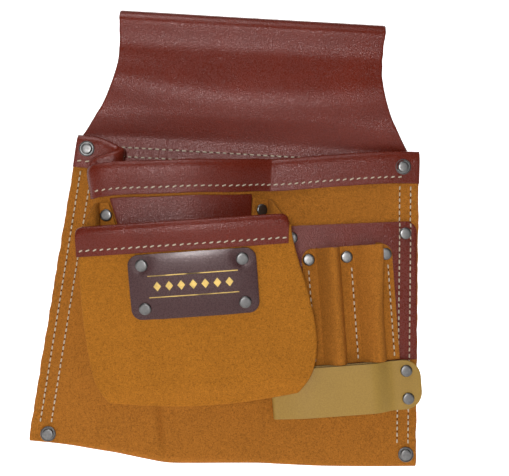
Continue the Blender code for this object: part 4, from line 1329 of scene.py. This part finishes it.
def washer_profile():
    """A cup washer: a raised bright rim round a sunk floor."""
    return [
        (2.0, GAP + WASHER_FLOOR), (2.0, GAP), (5.15, GAP), (5.4, GAP + 0.25), (5.45, GAP + 0.85),
        (5.3, GAP + 1.2), (5.05, GAP + 1.3), (4.8, GAP + 1.15), (4.66, GAP + 0.8), (4.62, GAP + WASHER_FLOOR),
        (2.0, GAP + WASHER_FLOOR),
    ]


def burr_profile(stack):
    """A flat burr with the post's end peened over it, seen from behind."""
    back = -stack - GAP
    return [
        (0.0, back), (3.8, back), (4.0, back - 0.2), (4.0, back - 0.55), (3.7, back - 0.75),
        (2.1, back - 0.8), (1.95, back - 1.15), (1.3, back - 1.3), (0.0, back - 1.2),
    ]


def rivet(name, seat, normal, stack, body, washer=False, lift=0.0):
    """Cap, burr and optional cup washer of one rivet."""
    if washer:
        turned(name + "_cup", washer_profile(), "nickel", seat, normal, body, "rivet_%s_washer" % name)
        cap = cap_profile(2.0 * GAP + WASHER_FLOOR, 3.95, 1.25, stack)
    else:
        cap = cap_profile(GAP + lift, 4.2, 1.5, stack)
    turned(name + "_head", cap, "nickel", seat, normal, body, "rivet_%s_cap" % name)
    turned(name + "_foot", burr_profile(stack), "nickel", seat, normal, body, "rivet_%s_burr" % name)


def front_normal(x, z):
    """Outward normal of the main front."""
    here = place(x, front_face(x, z), z)
    right = place(x + 1.0, front_face(x + 1.0, z), z)
    below = place(x, front_face(x, z - 1.0), z - 1.0)
    return (right - here).cross(here - below).normalized()


def make_corner_rivets():
    """Rivets with cup washers at the four corners of the body."""
    x, z = TOP_RIVET
    low_z = LOW_LEFT_RIVET[1]
    wrap = BINDING_GAP + TRIM_LEATHER
    places = [
        ("top_left", -x, z, seam_face(BODY_TOP) + wrap),
        ("top_right", x, z, front_face(x, z) + wrap),
        ("bottom_left", *LOW_LEFT_RIVET, seam_face(low_z)),
        ("bottom_right", *LOW_RIGHT_RIVET, front_face(*LOW_RIGHT_RIVET)),
    ]
    for name, x, z, face in places:
        stack = face + rear_middle_y(z) + SUEDE / 2.0
        rivet(name, place(x, face, z), FORWARD, stack, "pouch", washer=True)


def make_front_rivets():
    """Rivets of the outer pocket's ears, the backing, the tool loops and the hammer loop."""
    for name, x, z in EAR_RIVETS:
        normal = front_normal(x, z)
        seat = place(x, front_face(x, z), z) + normal * (2.0 * GAP + SUEDE) * MM
        rivet("pocket_" + name, seat, normal, 2.0 * SUEDE + 2.0 * GAP, "pouch")
    step = GAP + BACKING_LEATHER
    x, z = BACKING_LEFT_RIVET
    rivet("backing_left", place(x, front_face(x, z) + step, z), FORWARD, step + SUEDE, "pouch")
    z = BACKING_RIGHT_RIVET_Z
    x = edge_x(1, z) - (SIDE_ROWS[0][1] + SIDE_ROWS[1][1]) / 2.0
    face = front_face(x, z) + step
    stack = face + rear_middle_y(z) + SUEDE / 2.0
    rivet("backing_right", place(x, face, z), FORWARD, stack, "pouch", lift=0.3)
    for number, along in enumerate(LOOP_RIVETS, start=1):
        x, z = loop_point(along, 0.0)
        face = front_face(x, z) + loop_stand() + SUEDE / 2.0
        stack = loop_stand() + SUEDE / 2.0 + SUEDE
        rivet("loop_%d" % number, place(x, face, z), FORWARD, stack, "pouch")
    front = STRAP_REAR_DEPTH + STRAP_LEATHER + GAP + STRAP_LEATHER / 2.0
    for name, side in (("upper", 1.0), ("lower", -1.0)):
        x, z = slanted(STRAP_CENTRE, STRAP_SLANT, STRAP_RIVET, side * STRAP_RIVET_SPREAD)
        stack = front + rear_middle_y(z) + SUEDE / 2.0
        rivet("strap_" + name, place(x, front, z), FORWARD, stack, "pouch")


def make_badge_rivets():
    """Rivets at the badge's corners, square to the crowned pocket."""
    for name, side, level in (("tl", -1, 1), ("tr", 1, 1), ("bl", -1, -1), ("br", 1, -1)):
        along = side * BADGE_RIVET_X
        across = level * BADGE_RIVET_Z
        stand = SUEDE / 2.0 + GAP + BADGE_LEATHER
        here = badge_place(along, across, stand)
        right = badge_place(along + 1.0, across, stand)
        above = badge_place(along, across + 1.0, stand)
        normal = (right - here).cross(above - here).normalized()
        lift = badge_relief(along, across)
        rivet("badge_" + name, here, normal, stand + SUEDE / 2.0, "outer_pocket", lift=lift - 0.15)


# ---------------------------------------------------------------- stitching

def make_side_rows():
    """Two rows down each side seam, in front and behind."""
    for number, (name, inset) in enumerate(SIDE_ROWS):
        left = [place(edge_x(-1, z) + inset, seam_row_face(inset, z), z) for z in steps(*LEFT_ROW, 60)]
        right = []
        for z in steps(*RIGHT_ROW, 60):
            x = edge_x(1, z) - inset
            step_up = GAP + BACKING_LEATHER if BACKING_SPAN[0] < z < BACKING_SPAN[1] else 0.0
            right.append(place(x, front_face(x, z) + step_up, z))
        for side, path, seed in (("left", left, 11), ("right", right, 21)):
            stitch_row("stitches_%s_%s" % (side, name), path, FORWARD, "pouch",
                       ["thread_side_%s_%s" % (side, name)], pitch=SIDE_PITCH, seed=seed + number)
        for side, sign in (("left", -1), ("right", 1)):
            rear = []
            for z in steps(*LEFT_ROW, 40):
                rear.append(place(edge_x(sign, z) - sign * inset, -rear_middle_y(z) - SUEDE / 2.0, z))
            stitch_row("stitches_rear_%s_%s" % (side, name), rear, -FORWARD, "pouch",
                       pitch=SIDE_PITCH, seed=31 + number)


def seam_row_face(inset, z):
    """Depth of the front suede's face at an inset from the left edge, before the pleat."""
    position = plan_position(edge_x(-1, z) + inset, z, 0.0, 2.0)
    return front_sheet(position, z)[1] + SUEDE / 2.0


def make_belt_rows():
    """The two rows that close the belt tunnel, in front and behind."""
    across = steps(4.0 - FLAP_HALF_BOTTOM, FLAP_HALF_BOTTOM - 4.0, 40)
    for number, (name, z) in enumerate(BELT_ROWS):
        front = [place(x, YOKE_LEATHER / 2.0 - YOKE_MIDDLE_Y, z) for x in across]
        stitch_row("stitches_belt_" + name, front, FORWARD, "pouch",
                   ["thread_belt_loop_" + name], seed=41 + number)
        rear = [place(x, -FLAP_MIDDLE_Y - YOKE_LEATHER / 2.0, z) for x in across]
        stitch_row("stitches_flap_" + name, rear, -FORWARD, "pouch", seed=45 + number)


def binding_row(edge, stops, drop):
    """Points and normals on a binding's face near its lower edge."""
    stand = SUEDE / 2.0 + BINDING_GAP + TRIM_LEATHER
    points = []
    normals = []
    for stop in stops:
        point, normal = edge(stop, drop)
        points.append(point + normal * stand * MM)
        normals.append(normal)
    return points, normals


def make_binding_rows():
    """The rows along both bindings, with the short piece left of the main pocket's pleat."""
    main_drop = TRIM_FACE - MAIN_ROW_RISE
    pocket_drop = POCKET_TRIM_FACE - POCKET_ROW_RISE
    pocket_stops = steps(POCKET_TRIM_START + 0.006, POCKET_TRIM_END - 0.002, 60)
    rows = [
        ("main_binding", main_edge, steps(*MAIN_ROW, 120), main_drop, "pouch", ["thread_main_trim"], 51),
        ("binding_end", main_edge, steps(*END_ROW, 14), main_drop, "pouch", [], 53),
        ("outer_binding", pocket_edge, pocket_stops, pocket_drop, "outer_pocket", ["thread_pocket_trim"], 52),
    ]
    for name, edge, stops, drop, body, replaced, seed in rows:
        path, normals = binding_row(edge, stops, drop)
        stitch_row("stitches_" + name, path, normals, body, replaced, seed=seed, slant=BINDING_SLANT)


def make_loop_rows():
    """The stitched lines between the tool loops."""
    for number, along in enumerate(LOOP_SEAMS, start=1):
        points = []
        for down in steps(6.5, LOOP_BOTTOM - 1.5, 24):
            x, z = loop_point(along, down)
            points.append(place(x, front_face(x, z) + loop_stand() + SUEDE / 2.0, z))
        stitch_row("stitches_loop_%d" % number, points, FORWARD, "pouch",
                   ["thread_loop_%d" % number], pitch=LOOP_PITCH, seed=60 + number)


# ---------------------------------------------------------------- stage

def add_light(name, location, size, power):
    """A soft white area light aimed at the middle of the pouch."""
    data = bpy.data.lights.new(name, "AREA")
    data.shape = "RECTANGLE"
    data.size, data.size_y = size
    data.energy = power
    light = add_object(name, data)
    light.location = location
    light.rotation_euler = (Vector(LIGHT_TARGET) - Vector(location)).to_track_quat("-Z", "Y").to_euler()


def make_stage():
    """Pale floor that sweeps up behind and glows as painted light, brighter towards the back; pale world, and
    soft lights.
    """
    profile = [(-3.0, FLOOR_Z), (WALL_Y - FLOOR_SWEEP, FLOOR_Z)]
    for turn in steps(0.0, math.pi / 2.0, 10)[1:]:
        y = WALL_Y - FLOOR_SWEEP + FLOOR_SWEEP * math.sin(turn)
        profile.append((y, FLOOR_Z + FLOOR_SWEEP * (1.0 - math.cos(turn))))
    profile.append((WALL_Y, 3.0))
    rows = [[Vector((x, y, z)) for x in (-4.0, 0.0, 4.0)] for y, z in profile]
    floor = add_object("floor", grid_mesh("floor", rows))
    floor.data.materials.append(MATERIALS["ground"])
    world = bpy.data.worlds.new("studio")
    bpy.context.scene.world = world
    world.use_nodes = True
    white = (1.0, 1.0, 1.0, 1.0)
    fill(world.node_tree, world.node_tree.nodes["Background"], {"Color": white, "Strength": WORLD_LIGHT})
    add_light("key", (-0.10, -1.15, -0.01), (0.20, 0.20), 6.0)
    add_light("overhead", (-0.25, -0.40, 0.95), (0.7, 0.3), 5.6)
    add_light("back fill", (0.3, 1.2, 0.5), (0.8, 0.8), 5.0)


def make_camera():
    """The camera at the reference view."""
    data = bpy.data.cameras.new("camera")
    data.lens = CAMERA_LENS
    camera = add_object("camera", data)
    stand = Matrix.Translation((CAMERA_X, -CAMERA_DISTANCE, CAMERA_Z))
    level = Matrix.Rotation(math.pi / 2.0, 4, "X")
    camera.matrix_world = stand @ level @ Matrix.Rotation(CAMERA_ROLL, 4, "Z")
    bpy.context.scene.camera = camera


make_camera()
make_stage()
make_body()
make_yoke()
make_main_trim()
make_patch()
make_outer_pocket()
make_pocket_trim()
make_badge()
make_ornament()
make_backing()
make_tool_loops()
make_strap()
make_corner_rivets()
make_front_rivets()
make_badge_rivets()
make_side_rows()
make_belt_rows()
make_binding_rows()
make_loop_rows()

bpy.context.scene.view_settings.view_transform = "Standard"
bpy.context.view_layer.update()
